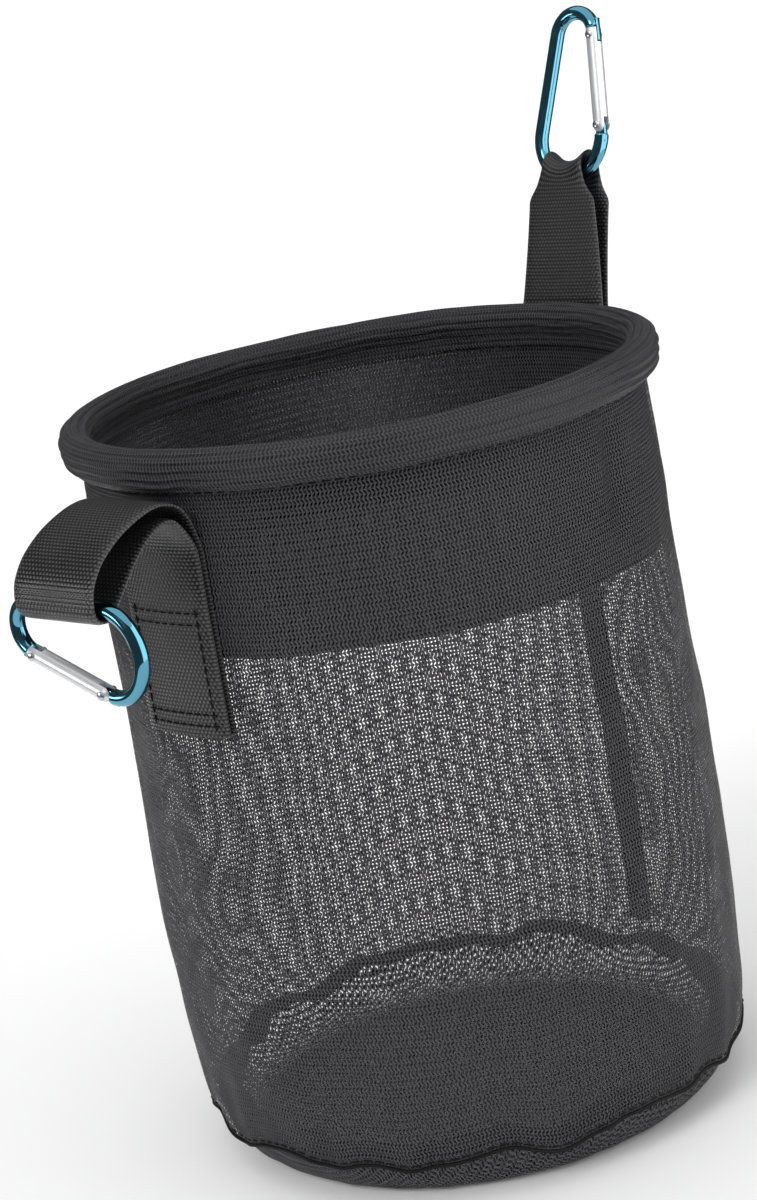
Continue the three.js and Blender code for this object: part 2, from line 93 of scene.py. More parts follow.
def arc(centre, radius, start, end, steps):
    angles = [start + (end - start) * i / steps for i in range(steps + 1)]
    return [(centre[0] + radius * math.cos(a), centre[1] + radius * math.sin(a)) for a in angles]


def smoothstep(x, low, high):
    t = min(max((x - low) / (high - low), 0), 1)
    return t * t * (3 - 2 * t)


print("radius at the hem, mm:", round(wall_radius(HEM_BOTTOM), 1))

# %% [markdown]
# ## Materials
# A short helper adds a node and fills its sockets, so that each material below reads as a recipe.
# A value that is the same all over stays on the socket. Only what changes over the surface is linked.

# %% Node helpers


class Recipe:
    """A new material with a Principled shader, and short calls that add nodes to it."""

    def __init__(self, name):
        self.material = bpy.data.materials.new(name)
        self.material.use_nodes = True
        self.nodes = self.material.node_tree.nodes
        self.links = self.material.node_tree.links
        self.shader = self.nodes["Principled BSDF"]

    def put(self, socket, value):
        if isinstance(value, bpy.types.NodeSocket):
            self.links.new(value, socket)
        else:
            socket.default_value = value

    def node(self, kind, inputs=None, **settings):
        node = self.nodes.new(kind)
        for key, value in settings.items():
            setattr(node, key, value)
        for key, value in (inputs or {}).items():
            self.put(node.inputs[key], value)
        return node

    def math(self, operation, *values):
        node = self.node("ShaderNodeMath", operation=operation)
        for i, value in enumerate(values):
            self.put(node.inputs[i], value)
        return node.outputs[0]

    def ease(self, value, low, high, to_low=0.0, to_high=1.0):
        inputs = {"Value": value, "From Min": low, "From Max": high, "To Min": to_low, "To Max": to_high}
        return self.node("ShaderNodeMapRange", inputs, interpolation_type="SMOOTHSTEP").outputs["Result"]

    def mix(self, factor, dark, light):
        node = self.node("ShaderNodeMix", data_type="RGBA")
        self.put(node.inputs["Factor"], factor)
        self.put(node.inputs["A"], (*dark, 1) if isinstance(dark, tuple) else dark)
        self.put(node.inputs["B"], (*light, 1) if isinstance(light, tuple) else light)
        return node.outputs["Result"]

    def threads(self):
        """Across and along the cloth in millimetres, from the piece's own map."""
        uv = self.node("ShaderNodeUVMap", uv_map="cloth_mm")
        split = self.node("ShaderNodeSeparateXYZ", {"Vector": uv.outputs["UV"]})
        return split.outputs["X"], split.outputs["Y"]

    def speckle(self, scale, detail=2.0):
        place = self.node("ShaderNodeTexCoord").outputs["Object"]
        inputs = {"Vector": place, "Scale": scale, "Detail": detail}
        return self.node("ShaderNodeTexNoise", inputs).outputs["Fac"]

    def bump(self, height, distance):
        node = self.node("ShaderNodeBump", {"Height": height, "Distance": distance, "Strength": 1.0})
        self.put(self.shader.inputs["Normal"], node.outputs["Normal"])

    def set(self, **values):
        for key, value in values.items():
            self.put(self.shader.inputs[key.replace("_", " ")], value)


print("calls of a recipe:", ", ".join(name for name in vars(Recipe) if not name.startswith("_")))

# %% [markdown]
# The mesh is a warp knit. Its threads run up the bag in zigzags, about a millimetre apart, and pinch
# together at each turn. The gaps could be cut in the geometry, but there are over a hundred thousand.
# The pattern is drawn from the cloth's own map instead, and drives the alpha, so light goes through.
# The facing is a dense layer and the hem several layers, so there the gaps are hardly open, and they are
# painted near black as the shade of the layers behind. The crowns of the threads are painted lighter, as a
# painted highlight.

# %% Mesh cloth
WALE = 1.05  # from one thread to the next
COURSE = 1.1  # from one turn of the zigzag to the next
ZIGZAG = 0.62  # sideways run of a thread between two turns
THREAD_AT_TURN = 0.43  # half of the thread's width where it turns
THREAD_BETWEEN = 0.17  # and between two turns
THREAD_EDGE = 0.07  # width of the soft edge of a thread
MESH_RELIEF = 0.55  # height of the bump


def mesh_cloth(name, gap_cover):
    """gap_cover is how much of the light a gap stops: 0 in a single layer, 1 in many layers."""
    cloth = Recipe(name)
    across, along = cloth.threads()
    turn = cloth.math("PINGPONG", along, COURSE)
    lean = cloth.math("MULTIPLY", turn, ZIGZAG / COURSE)
    off_thread = cloth.math("PINGPONG", cloth.math("ADD", across, lean), WALE / 2)
    off_turn = cloth.math("PINGPONG", along, COURSE / 2)
    half_thread = cloth.ease(off_turn, 0.0, COURSE / 2, THREAD_AT_TURN, THREAD_BETWEEN)
    edge = cloth.math("SUBTRACT", off_thread, half_thread)
    thread = cloth.ease(edge, 0.0, THREAD_EDGE, 1.0, 0.0)
    slope = cloth.ease(off_thread, 0.0, 0.4, 1.0, 0.0)
    rib = cloth.ease(off_turn, 0.0, 0.3, 0.9, 0.0)
    crown = cloth.math("MULTIPLY", cloth.math("MAXIMUM", slope, rib), thread)
    shade = cloth.speckle(90, 3)
    tone = cloth.mix(shade, (0.003, 0.0028, 0.0036), (0.008, 0.0075, 0.0092))
    # painted highlight on the crowns of the threads; the gaps are painted near black as the shade of the
    # cloth behind
    lit = cloth.mix(crown, tone, (0.08, 0.076, 0.086))
    cloth.set(Base_Color=cloth.mix(thread, (0.002, 0.002, 0.0024), lit))
    if gap_cover < 1:
        cloth.set(Alpha=cloth.math("MAXIMUM", thread, gap_cover))
    cloth.set(
        Roughness=cloth.ease(shade, 0.3, 0.7, 0.36, 0.5),
        Specular_IOR_Level=0.35,
        Sheen_Weight=0.04,
        Sheen_Roughness=0.4,
    )
    cloth.bump(crown, MESH_RELIEF * MM)
    return cloth.material


open_mesh = mesh_cloth("open_mesh", 0)
facing_mesh = mesh_cloth("facing_mesh", 0.75)
lapped_mesh = mesh_cloth("lapped_mesh", 0.4)
layered_mesh = mesh_cloth("layered_mesh", 1)
print("threads per 10 mm:", round(10 / WALE, 1))

# %% [markdown]
# The webbing is a tight black weave. Its yarns rise in rows, each set half a step from the last. Their
# colour is painted light and shade: the raised yarns are lighter, the hollows between them darker, and a
# lighter rim is painted along both edges as a highlight. The yarns are shinier than the mesh, so a satin
# light shows where a loop bends. All sewing is in a black thread that hardly shines.

# %% Webbing and thread
RIB = 1.3  # from one raised yarn to the next, across the strap
CORD_PITCH = 1.0  # from one row of yarns to the next
PAINTED_EDGE_WIDTH = 1.1  # width of the edge
WEAVE_RELIEF = 0.09  # height of the bump


def webbing_cloth():
    cloth = Recipe("black_webbing")
    across, along = cloth.threads()
    row = cloth.math("FLOOR", cloth.math("DIVIDE", along, CORD_PITCH))
    half_step = cloth.math("MULTIPLY", cloth.math("MODULO", row, 2.0), RIB / 2)
    rib = cloth.math("PINGPONG", cloth.math("ADD", across, half_step), RIB / 2)
    cord = cloth.math("PINGPONG", along, CORD_PITCH / 2)
    rib_height = cloth.ease(rib, 0.0, RIB / 2)
    cord_height = cloth.ease(cord, 0.0, CORD_PITCH / 2)
    raised_rib = cloth.math("ADD", rib_height, 0.35)
    raised_cord = cloth.math("ADD", cord_height, 0.2)
    height = cloth.math("MULTIPLY", raised_rib, raised_cord)
    wear = cloth.speckle(140, 4)
    # painted shade in the hollows between the yarns, and painted light on the raised yarns
    painted_hollow_shade = cloth.mix(wear, (0.002, 0.002, 0.0022), (0.005, 0.005, 0.0055))
    yarn = cloth.mix(cloth.ease(height, 0.4, 1.4), painted_hollow_shade, (0.066, 0.065, 0.067))
    # painted highlight: a lighter rim along both edges of the strap
    from_middle = cloth.math("ABSOLUTE", cloth.math("SUBTRACT", across, STRAP_HALF))
    at_edge = cloth.ease(from_middle, STRAP_HALF - PAINTED_EDGE_WIDTH, STRAP_HALF - PAINTED_EDGE_WIDTH + 0.5)
    painted_edge_light = cloth.math("MULTIPLY", at_edge, cord_height)
    cloth.set(
        Base_Color=cloth.mix(painted_edge_light, yarn, (0.07, 0.068, 0.072)),
        Roughness=cloth.ease(wear, 0.3, 0.7, 0.28, 0.4),
        Specular_IOR_Level=0.5,
        Sheen_Weight=0.03,
        Sheen_Roughness=0.35,
    )
    cloth.bump(height, WEAVE_RELIEF * MM)
    return cloth.material


webbing = webbing_cloth()


def sewing_thread():
    thread = Recipe("sewing_thread")
    twist = thread.speckle(2500, 2)
    thread.set(
        Base_Color=thread.mix(twist, (0.002, 0.002, 0.0022), (0.008, 0.0078, 0.0085)),
        Roughness=0.6,
        Specular_IOR_Level=0.15,
    )
    thread.bump(twist, 0.05 * MM)
    return thread.material


black_thread = sewing_thread()
print("yarns across a strap:", round(2 * STRAP_HALF / RIB))

# %% [markdown]
# The hooks are bent from bright aluminium rod and dyed blue, which keeps the metal's own mirror finish.
# The gates are left a satin silver, and the pins are steel. All get faint handling marks in the
# roughness, because a perfectly even metal looks like plastic.

# %% Metals


def metal(name, dark, light, rough, marked, metallic=1.0):
    """marked is how much rougher the handling marks are than the clean metal."""
    finish = Recipe(name)
    marks = finish.speckle(260, 5)
    cloudy = finish.speckle(60, 2)
    finish.set(
        Base_Color=finish.mix(cloudy, dark, light),
        Metallic=metallic,
        Roughness=finish.ease(marks, 0.35, 0.75, rough, rough + marked),
    )
    finish.bump(marks, 0.004 * MM)
    return finish.material


blue_anodised = metal("blue_anodised", (0.1, 0.32, 0.44), (0.13, 0.38, 0.5), 0.06, 0.1)
satin_silver = metal("satin_silver", (0.7, 0.71, 0.73), (0.78, 0.79, 0.81), 0.34, 0.08, metallic=0.65)
bright_steel = metal("bright_steel", (0.5, 0.5, 0.51), (0.66, 0.66, 0.67), 0.2, 0.14)


def moulded_plastic():
    plastic = Recipe("hoop_plastic")
    grain = plastic.speckle(400, 3)
    plastic.set(Base_Color=plastic.mix(grain, (0.03, 0.03, 0.031), (0.055, 0.055, 0.056)), Roughness=0.5)
    plastic.bump(grain, 0.05 * MM)
    return plastic.material


hoop_plastic = moulded_plastic()
print("materials:", len(bpy.data.materials))

# %% [markdown]
# ## Cloth pieces
# Each layer of cloth is first a grid of points with a map in millimetres, and then gets its thickness
# from a Solidify modifier, which is applied so that the piece is a plain closed mesh.

# %% Grid and thickness helpers


def finished(name, mesh, material, smooth_angle=40):
    for polygon in mesh.polygons:
        polygon.use_smooth = True
    mesh.set_sharp_from_angle(angle=math.radians(smooth_angle))
    mesh.materials.clear()
    mesh.materials.append(material)
    piece = bpy.data.objects.new(name, mesh)
    bpy.context.scene.collection.objects.link(piece)
    return piece


def applied(piece):
    """The piece with its modifiers turned into a plain mesh."""
    evaluated = piece.evaluated_get(bpy.context.evaluated_depsgraph_get())
    mesh = bpy.data.meshes.new_from_object(evaluated)
    piece.modifiers.clear()
    old = piece.data
    piece.data = mesh
    bpy.data.meshes.remove(old)
    return piece


def grid_mesh(name, rows, maps, closed=False, pole=None):
    """Quads between rows of points. A closed row meets itself; a pole closes the first row to a point."""
    count = len(rows[0])
    points = [Vector(p) * MM for row in rows for p in row]
    faces, corners = [], []
    for i in range(len(rows) - 1):
        for j in range(count if closed else count - 1):
            k = (j + 1) % count
            faces.append((i * count + j, i * count + k, (i + 1) * count + k, (i + 1) * count + j))
            corners += [maps[i][j], maps[i][j + 1], maps[i + 1][j + 1], maps[i + 1][j]]
    if pole is not None:
        points.append(Vector(pole) * MM)
        for j in range(count):
            faces.append((len(points) - 1, (j + 1) % count, j))
            corners += [(0, 0), maps[0][j + 1], maps[0][j]]
    mesh = bpy.data.meshes.new(name)
    mesh.from_pydata(points, [], faces)
    layer = mesh.uv_layers.new(name="cloth_mm")
    layer.data.foreach_set("uv", np.array(corners, dtype=np.float32).ravel())
    return mesh


def cloth_piece(name, rows, maps, material, thickness=CLOTH, closed=False, pole=None):
    piece = finished(name, grid_mesh(name, rows, maps, closed, pole), material, 60)
    wall = piece.modifiers.new("thickness", "SOLIDIFY")
    wall.thickness = thickness * MM
    wall.offset = -1
    return applied(piece)


def sealed(mesh):
    """Joins doubled points, fills open ends and turns the faces outward."""
    shell = bmesh.new()
    shell.from_mesh(mesh)
    bmesh.ops.remove_doubles(shell, verts=shell.verts, dist=1e-7)
    bmesh.ops.holes_fill(shell, edges=[e for e in shell.edges if e.is_boundary])
    bmesh.ops.recalc_face_normals(shell, faces=shell.faces)
    shell.to_mesh(mesh)
    shell.free()


print("thickness of one layer, mm:", CLOTH)

# %% [markdown]
# The wall hangs from the hoop. It isn't a perfect tube: soft dents run round it, it is drawn in and
# puckered where it is gathered to the base, and the seam itself wanders up and down. It could be left to
# a cloth simulation, but the hoop and the base hold it almost fully. One function gives the radius at any
# angle and height instead, and every layer follows it, so layers never cut through each other.

# %% Slack of the wall
SEAM_WAVES = ((1.1, 9, 1), (1, 14, 2.4), (0.4, 23, 0))  # height, number round the bag and start of each
PUCKERS = 28  # round the base
PUCKER_DEPTH = 0.5
PUCKER_FADE = 14  # height over which the puckers die out
DRAWN_IN = 2.2  # how far the seam pulls the wall's foot in
DRAWN_FADE = 8
DENT_DEPTH = 1.5
SMALL_DENT_DEPTH = 0.6
DENT_HEIGHT = 48
LOOSE_FROM = 45  # the dents reach their full depth at this height
LOOSE_TO = 165  # and die out from here up to the hem
CREASE_AT = math.radians(99)  # one upright crease under the hem
CREASE_HALF = math.radians(3.2)
CREASE_DEPTH = 1.5
CREASE_FROM = 148
CREASE_FULL = 178  # it is deepest from here
CREASE_TO = 188  # up to here
HELD_HALF = 16  # a strap holds the cloth flat this far to each side
FREE_HALF = 30  # and not at all from here on


def seam_height(theta):
    waves = [height * math.sin(count * theta + start) for height, count, start in SEAM_WAVES]
    return SEAM_HEIGHT + sum(waves)


def turned_from(theta, place):
    """The angle from a place round the bag to theta, the short way."""
    return (theta - place + math.pi) % TURN - math.pi


def beside_straps(theta, z):
    """0 behind the straps, where the cloth is held flat, and 1 well away from them."""
    sideways = abs(HOOP_RADIUS * math.sin(theta))
    below = 1 - smoothstep(z, PATCH_BOTTOM - 22, PATCH_BOTTOM - 4)
    return max(smoothstep(sideways, HELD_HALF, FREE_HALF), below)


def pucker(theta):
    return math.sin(PUCKERS * theta + 4 * noise.noise((4 * math.cos(theta), 4 * math.sin(theta), 0)))


def slack_radius(theta, z):
    place = Vector((2.6 * math.sin(theta), 2.6 * math.cos(theta), z / DENT_HEIGHT))
    small = place * 2.7 + Vector((9, 4, 2))
    dents = DENT_DEPTH * noise.noise(place) + SMALL_DENT_DEPTH * noise.noise(small)
    loose = smoothstep(z, SEAM_HEIGHT, LOOSE_FROM) * (1 - smoothstep(z, LOOSE_TO, HEM_BOTTOM))
    above_seam = max(z - SEAM_HEIGHT, 0)
    gathers = PUCKER_DEPTH * pucker(theta) * math.exp(-above_seam / PUCKER_FADE)
    gathers -= DRAWN_IN * math.exp(-above_seam / DRAWN_FADE)
    crease = -CREASE_DEPTH * math.exp(-((turned_from(theta, CREASE_AT) / CREASE_HALF) ** 2))
    crease *= smoothstep(z, CREASE_FROM, CREASE_FULL) * (1 - smoothstep(z, CREASE_TO, HEM_BOTTOM))
    return wall_radius(z) + beside_straps(theta, z) * (dents * loose + crease) + gathers


lowest = min(seam_height(TURN * i / 360) for i in range(360))
highest = max(seam_height(TURN * i / 360) for i in range(360))
print("the seam wanders between, mm:", round(lowest, 1), "and", round(highest, 1))

# %% [markdown]
# The wall and its facing are both layers of that shape. The knit has a whole number of threads round the
# bag, so that its pattern meets itself, and its rows follow the wandering seam, as gathered cloth does.
# One helper makes the rows of points for every piece that goes round the bag.

# %% Wall and facing
WALL_STEPS = 288
KNIT_ROUND = 462 * WALE
ROW_FADE = 30  # height over which the rows become level
FACING_WANDER = 1.4  # of the facing's lower edge, up and down


def knit_across(theta):
    return theta / TURN * KNIT_ROUND


def round_grid(count, point):
    """Rows of points round the bag, and their map. point(i, theta) gives radius, height and map."""
    rows, maps = [], []
    for i in range(count):
        row, flat = [], []
        for j in range(WALL_STEPS + 1):
            theta = TURN * j / WALL_STEPS
            radius, z, on_map = point(i, theta)
            row.append(around(radius, theta, z))
            flat.append(on_map)
        rows.append(row[:-1])
        maps.append(flat)
    return rows, maps


def wall_layer(name, inset, low, level, steps, material):
    """A closed layer of the wall. low gives its foot at an angle, and level is the mean of that.
    The rows of the knit follow the foot and are level higher up."""

    def point(i, theta):
        foot = low(theta)
        z = foot + (WALL_TOP - foot) * i / steps
        lean = (foot - level) * math.exp((foot - z) / ROW_FADE)
        return slack_radius(theta, z) - inset, z, (knit_across(theta), z - lean)

    return cloth_piece(name, *round_grid(steps + 1, point), material, closed=True)


def facing_edge(theta):
    return FACING_BOTTOM + FACING_WANDER * noise.noise((1.7 * math.cos(theta), 1.7 * math.sin(theta), 5))


facing_inset = CLOTH + LAYER_GAP
wall_cloth = wall_layer("wall_cloth", 0, seam_height, SEAM_HEIGHT, 64, open_mesh)
facing_cloth = wall_layer("facing_cloth", facing_inset, facing_edge, FACING_BOTTOM, 18, facing_mesh)
print("wall faces:", len(wall_cloth.data.polygons))

# %% [markdown]
# The hem is the cloth's top edge rolled over the hoop and sewn down. The bunched layers show as low
# ridges that run round it. They could be a bump in the material, but they show on the rim's outline, so
# the section is a path round the hoop, pushed in and out along its normal.

# %% Hem
HEM_STEPS = 96
HEM_EASE = 0.4  # between the hem's lower edges and the wall
HEM_CLEAR = 0.9  # between the hoop and the cloth round it
RIDGE_PITCH = 2.3  # from one ridge of bunched cloth to the next
RIDGE_DEPTH = 0.24
RIDGE_CHANGE = 0.2  # how much the depth changes round the rim
RIDGE_DRIFT = 0.45  # how far a ridge wanders, in pitches
LUMPS = 0.35  # depth of the broad lumps under the ridges
PINCH_AT = math.radians(11)  # one pinch in the cloth, beside the front strap
PINCH_HALF = math.radians(3)
PINCH_DEPTH = 1.1
PINCH_RUN = 6  # from the hem's outer edge to the middle of the pinch
PINCH_REACH = 3.5
OUTER_FADE = 2.5  # the ridges die out over this much of the outer edge
INNER_FADE = 3


def hem_section():
    outer = wall_radius(HEM_BOTTOM) + HEM_EASE + CLOTH
    inner = wall_radius(HEM_BOTTOM) - 2 * (CLOTH + LAYER_GAP) - HEM_EASE
    bulge = HOOP_TUBE + HEM_CLEAR
    rise = [
        (outer, HEM_BOTTOM),
        (outer + 1.3, HEM_BOTTOM + 0.9),
        (HOOP_RADIUS + 0.88 * bulge, HEM_BOTTOM + 3),
    ]
    over = arc((HOOP_RADIUS, HOOP_HEIGHT), bulge, -0.2, math.pi + 0.2, 12)
    return rise + over + [(inner, HEM_BOTTOM + 2.6), (inner, HEM_BOTTOM)]


def smooth_path(points, count):
    """A smooth line through 2-D points, cut into equal steps: places, normals to the left, and run."""
    control = np.array(points, dtype=float)
    padded = np.vstack([2 * control[0] - control[1], control, 2 * control[-1] - control[-2]])
    fine = []
    for a, b, c, d in zip(padded, padded[1:], padded[2:], padded[3:]):
        for t in np.linspace(0, 1, 14, endpoint=False):
            first = (c - a) * t
            second = (2 * a - 5 * b + 4 * c - d) * t**2
            third = (3 * b - a - 3 * c + d) * t**3
            fine.append(0.5 * (2 * b + first + second + third))
    fine = np.array(fine + [control[-1]])
    run = np.concatenate([[0], np.cumsum(np.linalg.norm(np.diff(fine, axis=0), axis=1))])
    at = np.linspace(0, run[-1], count + 1)
    places = np.column_stack([np.interp(at, run, fine[:, 0]), np.interp(at, run, fine[:, 1])])
    along = np.gradient(places, axis=0)
    along /= np.linalg.norm(along, axis=1)[:, None]
    return places, np.column_stack([-along[:, 1], along[:, 0]]), at


def hem_push(theta, run, total):
    place = (3 * math.cos(theta), 3 * math.sin(theta), run / 9)
    drift = RIDGE_DRIFT * noise.noise((5 * math.cos(theta), 5 * math.sin(theta), run / 30))
    depth = RIDGE_DEPTH + RIDGE_CHANGE * noise.noise((2 * math.cos(theta) + 7, 2 * math.sin(theta), 3))
    ridge = depth * math.cos(TURN * (run / RIDGE_PITCH + drift)) + LUMPS * noise.noise(place)
    pinch = -PINCH_DEPTH * math.exp(-((turned_from(theta, PINCH_AT) / PINCH_HALF) ** 2))
    pinch *= math.exp(-(((run - PINCH_RUN) / PINCH_REACH) ** 2))
    fade = smoothstep(run, 0, OUTER_FADE) * smoothstep(total - run, 0, INNER_FADE)
    return fade * (ridge + pinch)


def hem_piece():
    places, normals, run = smooth_path(hem_section(), HEM_STEPS)

    def point(i, theta):
        radius, z = places[i] - normals[i] * hem_push(theta, run[i], run[-1])
        return radius, z, (knit_across(theta), run[i])

    return cloth_piece("hem_cloth", *round_grid(HEM_STEPS + 1, point), layered_mesh, closed=True)


hem_cloth = hem_piece()
print("hem depth, mm:", RIM_TOP - HEM_BOTTOM)

# %% [markdown]
# The base is a round of the same mesh. It lies flat in the middle and curves up to the seam, where it
# is puckered like the wall and tucked in behind it. A filled circle would do for a flat base, but here
# rings of points let its edge rise and follow the seam.

# %% Base
TURN_UP = 12.4  # from the flat middle of the base out to the seam
TURN_UP_STEPS = 12
TURN_UP_POWER = 2.1  # how late the base turns up
TUCK_IN = 1.0  # the edge of the base goes this far behind the wall
TUCK_UP = 1.3  # and this far above the wall's foot
BASE_SAG = 0.55  # depth of the puckers in the turned-up part
FLAT_RINGS = (3, 9, 16, 24, 32, 40, 48, 56)


def base_piece():
    turned_up = [FLAT_RADIUS + TURN_UP * i / TURN_UP_STEPS for i in range(TURN_UP_STEPS + 1)]
    rings = [*FLAT_RINGS, *turned_up]

    def point(i, theta):
        seam = seam_height(theta)
        t = max(rings[i] - FLAT_RADIUS, 0) / TURN_UP
        edge = slack_radius(theta, seam) - TUCK_IN
        radius = rings[i] + (edge - FLAT_RADIUS - TURN_UP) * t * t
        sag = BASE_SAG * (1 + pucker(theta)) * t * t * (1 - t) * 4
        z = (seam + TUCK_UP) * t**TURN_UP_POWER + sag
        return radius, z, (radius * math.sin(theta), radius * math.cos(theta))

    grid = round_grid(len(rings), point)
    return cloth_piece("base_cloth", *grid, open_mesh, closed=True, pole=(0, 0, 0))


base_cloth = base_piece()
print("base faces:", len(base_cloth.data.polygons))

# %% [markdown]
# Three more pieces finish the seams. Inside the base seam the cut edges are turned in together and bound
# with a narrow band. A cord of black overlocked thread runs round the wall's foot. It is the dark line seen
# from outside: partly the dense thread of the seam, and partly painted shade under the wall's edge. At the
# back, a lapped strip closes the wall's tube. The two rings could be curves with a bevel, but their
# sections follow the puckers, so they are swept point by point.

# %% Binding, overlocked edge with its painted shade, and side lap
OVERLOCK = 0.55  # radius of the thread that is sewn over the wall's edge
LAP_BOTTOM = SEAM_HEIGHT + 6.5
LAP_TOP = FACING_BOTTOM - 2.5
LAP_HALF = 4
LAP_THICKNESS = 0.9
LAP_STEPS = 48


def closed_ring(name, section, material):
    """A ring whose section is a closed loop of (radius, height) points, given at each angle."""
    count = len(section(0))

    def point(i, theta):
        radius, z = section(theta)[i % count]
        return radius, z, (knit_across(theta), 2.0 * i)

    mesh = grid_mesh(name, *round_grid(count + 1, point), closed=True)
    sealed(mesh)
    return finished(name, mesh, material, 60)


def binding_section(theta):
    outer = slack_radius(theta, seam_height(theta)) - TUCK_IN - CLOTH - 0.3
    low = seam_height(theta) + TUCK_UP + 0.4
    dip = 0.4 * pucker(theta)
    at_wall = [(outer, low), (outer, low + 1.3)]
    upper = [(outer - 3.5, low + 1.5 + dip), (outer - 6.8, low + 1.4 + dip)]
    lower = [(outer - 7.2, low + 0.7 + dip), (outer - 6.8, low + dip), (outer - 3.5, low + dip)]
    return at_wall + upper + lower


def edge_section(theta):
    """The overlocked foot of the wall: a cord of black thread round its edge, dark partly as dense thread
    and partly as painted shade under the wall.
    """
    foot = seam_height(theta)
    return arc((slack_radius(theta, foot), foot - 0.1), OVERLOCK, 0, TURN * 7 / 8, 7)


def side_lap_piece():
    rows, maps = [], []
    for i in range(LAP_STEPS + 1):
        z = LAP_BOTTOM + (LAP_TOP - LAP_BOTTOM) * i / LAP_STEPS
        row, flat = [], []
        for across in range(-LAP_HALF, LAP_HALF + 1):
            theta = math.pi + across / wall_radius(z)
            row.append(around(slack_radius(theta, z) - CLOTH - LAYER_GAP, theta, z))
            flat.append((across, z))
        rows.append(row)
        maps.append(flat)
    return cloth_piece("side_lap", rows, maps, lapped_mesh, thickness=LAP_THICKNESS)


base_binding = closed_ring("base_binding", binding_section, layered_mesh)
# painted shade: the black cord is partly the seam's thread and partly the shade under the wall's edge
overlock_and_shade_cord = closed_ring("overlock_and_shade_cord", edge_section, black_thread)
side_lap = side_lap_piece()
print("seam pieces, faces:", [len(piece.data.polygons) for piece in (base_binding, overlock_and_shade_cord, side_lap)])

# %% [markdown]
# ## Straps
# Each strap is one length of webbing. It starts at the wall, runs up to just under the hem, goes out
# round its hook, comes back and runs down over its own start, where both plies are sewn to the wall.
# So the side view is one path, and the webbing is a flat band swept along it. The band follows the
# round wall where it is sewn on and lies straight across where it is free.

# %% Paths of the straps
INNER_PLY = 0.95  # from the wall to the middle of the ply that lies on it
OUTER_PLY = 2.6  # and to the ply sewn over that
SEWN_HEIGHTS = (131.5, 140, 150, 160, 170, 179)
FRONT_ROD = (26.5, -17)  # middle of the front hook's rod, outward and up from the fold
FRONT_WRAP = 3.15  # from there to the middle of the webbing round it
REAR_LEAN = math.radians(17)  # of the rear loop, outward
REAR_ROD = 46.5  # from the fold to the middle of the rear hook's rod
REAR_WRAP = 3.85
REAR_BEND = REAR_ROD - 0.4 * REAR_WRAP  # the plies draw apart up to here, where they bend over the hook


def sewn_ply(offset, heights):
    return [(wall_radius(z) + offset - FOLD_RADIUS, z - FOLD_HEIGHT) for z in heights]


def front_path():
    outward = [(-5.3, -6.5), (-4, -2.6), (-1.6, 0.3), (1.6, 1.75), (4.7, 2.2)]
    outer = [(10, 1.4), (17.5, -1.3), (24.2, -5.6), (28.2, -10.4), (29.5, -14.2)]
    wrap = arc(FRONT_ROD, FRONT_WRAP, 0, -0.75 * math.pi, 6)
    inner = [(21.5, -16.4), (18.4, -13), (14.6, -9), (9.8, -5), (5, -2.6)]
    inward = [(1, -2.5), (-1.6, -4.9), (-3.3, -9)]
    loop = outward + outer + wrap + inner + inward
    return sewn_ply(INNER_PLY, SEWN_HEIGHTS) + loop + sewn_ply(OUTER_PLY, SEWN_HEIGHTS[::-1])


def leaning(p, q):
    """From across and along the rear loop to outward and up from the fold."""
    outward = q * math.sin(REAR_LEAN) + p * math.cos(REAR_LEAN)
    upward = q * math.cos(REAR_LEAN) - p * math.sin(REAR_LEAN)
    return (outward, upward)


def rear_path():
    outward = [(-5.2, -6), (-3.6, -2)]
    rise = []
    for q in (4, 12, 20, 28, 36, REAR_BEND):
        rise.append((-INNER_PLY - (REAR_WRAP - INNER_PLY) * (q / REAR_BEND) ** 2, q))
    over = arc((0, REAR_ROD), REAR_WRAP, math.pi, 0, 8)
    fall = [(-p, q) for p, q in rise[::-1]]
    loop = [leaning(p, q) for p, q in rise + over[1:-1] + fall]
    inward = [(-0.8, -3.2), (-2.8, -8)]
    free = outward + loop + inward
    return sewn_ply(INNER_PLY, SEWN_HEIGHTS) + free + sewn_ply(OUTER_PLY, SEWN_HEIGHTS[::-1])


print("points of the paths:", len(front_path()), "and", len(rear_path()))

# %% [markdown]
# The rear strap carries the bag. Its hook pulls it narrower toward the top, and the round bow of the hook
# bunches it and draws its edges up. A band is swept as one closed tube with a face on each side, rather
# than a strip with a Solidify modifier, because the edges of webbing are thinner than its middle.

# %% Webbing bands
BAND_COLUMNS = 16
BAND_STEP = 1.1
ROUND_BELOW = -14  # from the fold: the band follows the round wall below this height
STRAIGHT_ABOVE = -4  # and lies straight across above this one
EDGE_FROM = 0.86  # share of the half width at which the edge starts to thin
EDGE_TO = 1.04
EDGE_LEAST = 0.04  # square of the thickness left at the very edge, as a share
REAR_TAPER = 9  # the band starts to narrow this far above the fold
REAR_NECK_AT = REAR_ROD - 2.5
REAR_NECK = 11.4  # half of the width there
REAR_GATHER = 7  # half of the width on the hook
REAR_EYE = 8.9  # a little less than the inside of the hook's bow


def rear_half_width(q):
    tapered = float(np.interp(q, (REAR_TAPER, REAR_NECK_AT), (STRAP_HALF, REAR_NECK)))
    return tapered - (tapered - REAR_GATHER) * smoothstep(q, REAR_NECK_AT - 5, REAR_ROD + 1)


def gathered(x, q):
    """The band is drawn up at its edges by the round bow of the hook."""
    across = min(abs(x), REAR_GATHER)
    rise = REAR_EYE - math.sqrt(REAR_EYE**2 - across**2)
    return rise * smoothstep(q, REAR_ROD - REAR_WRAP, REAR_ROD + 2)


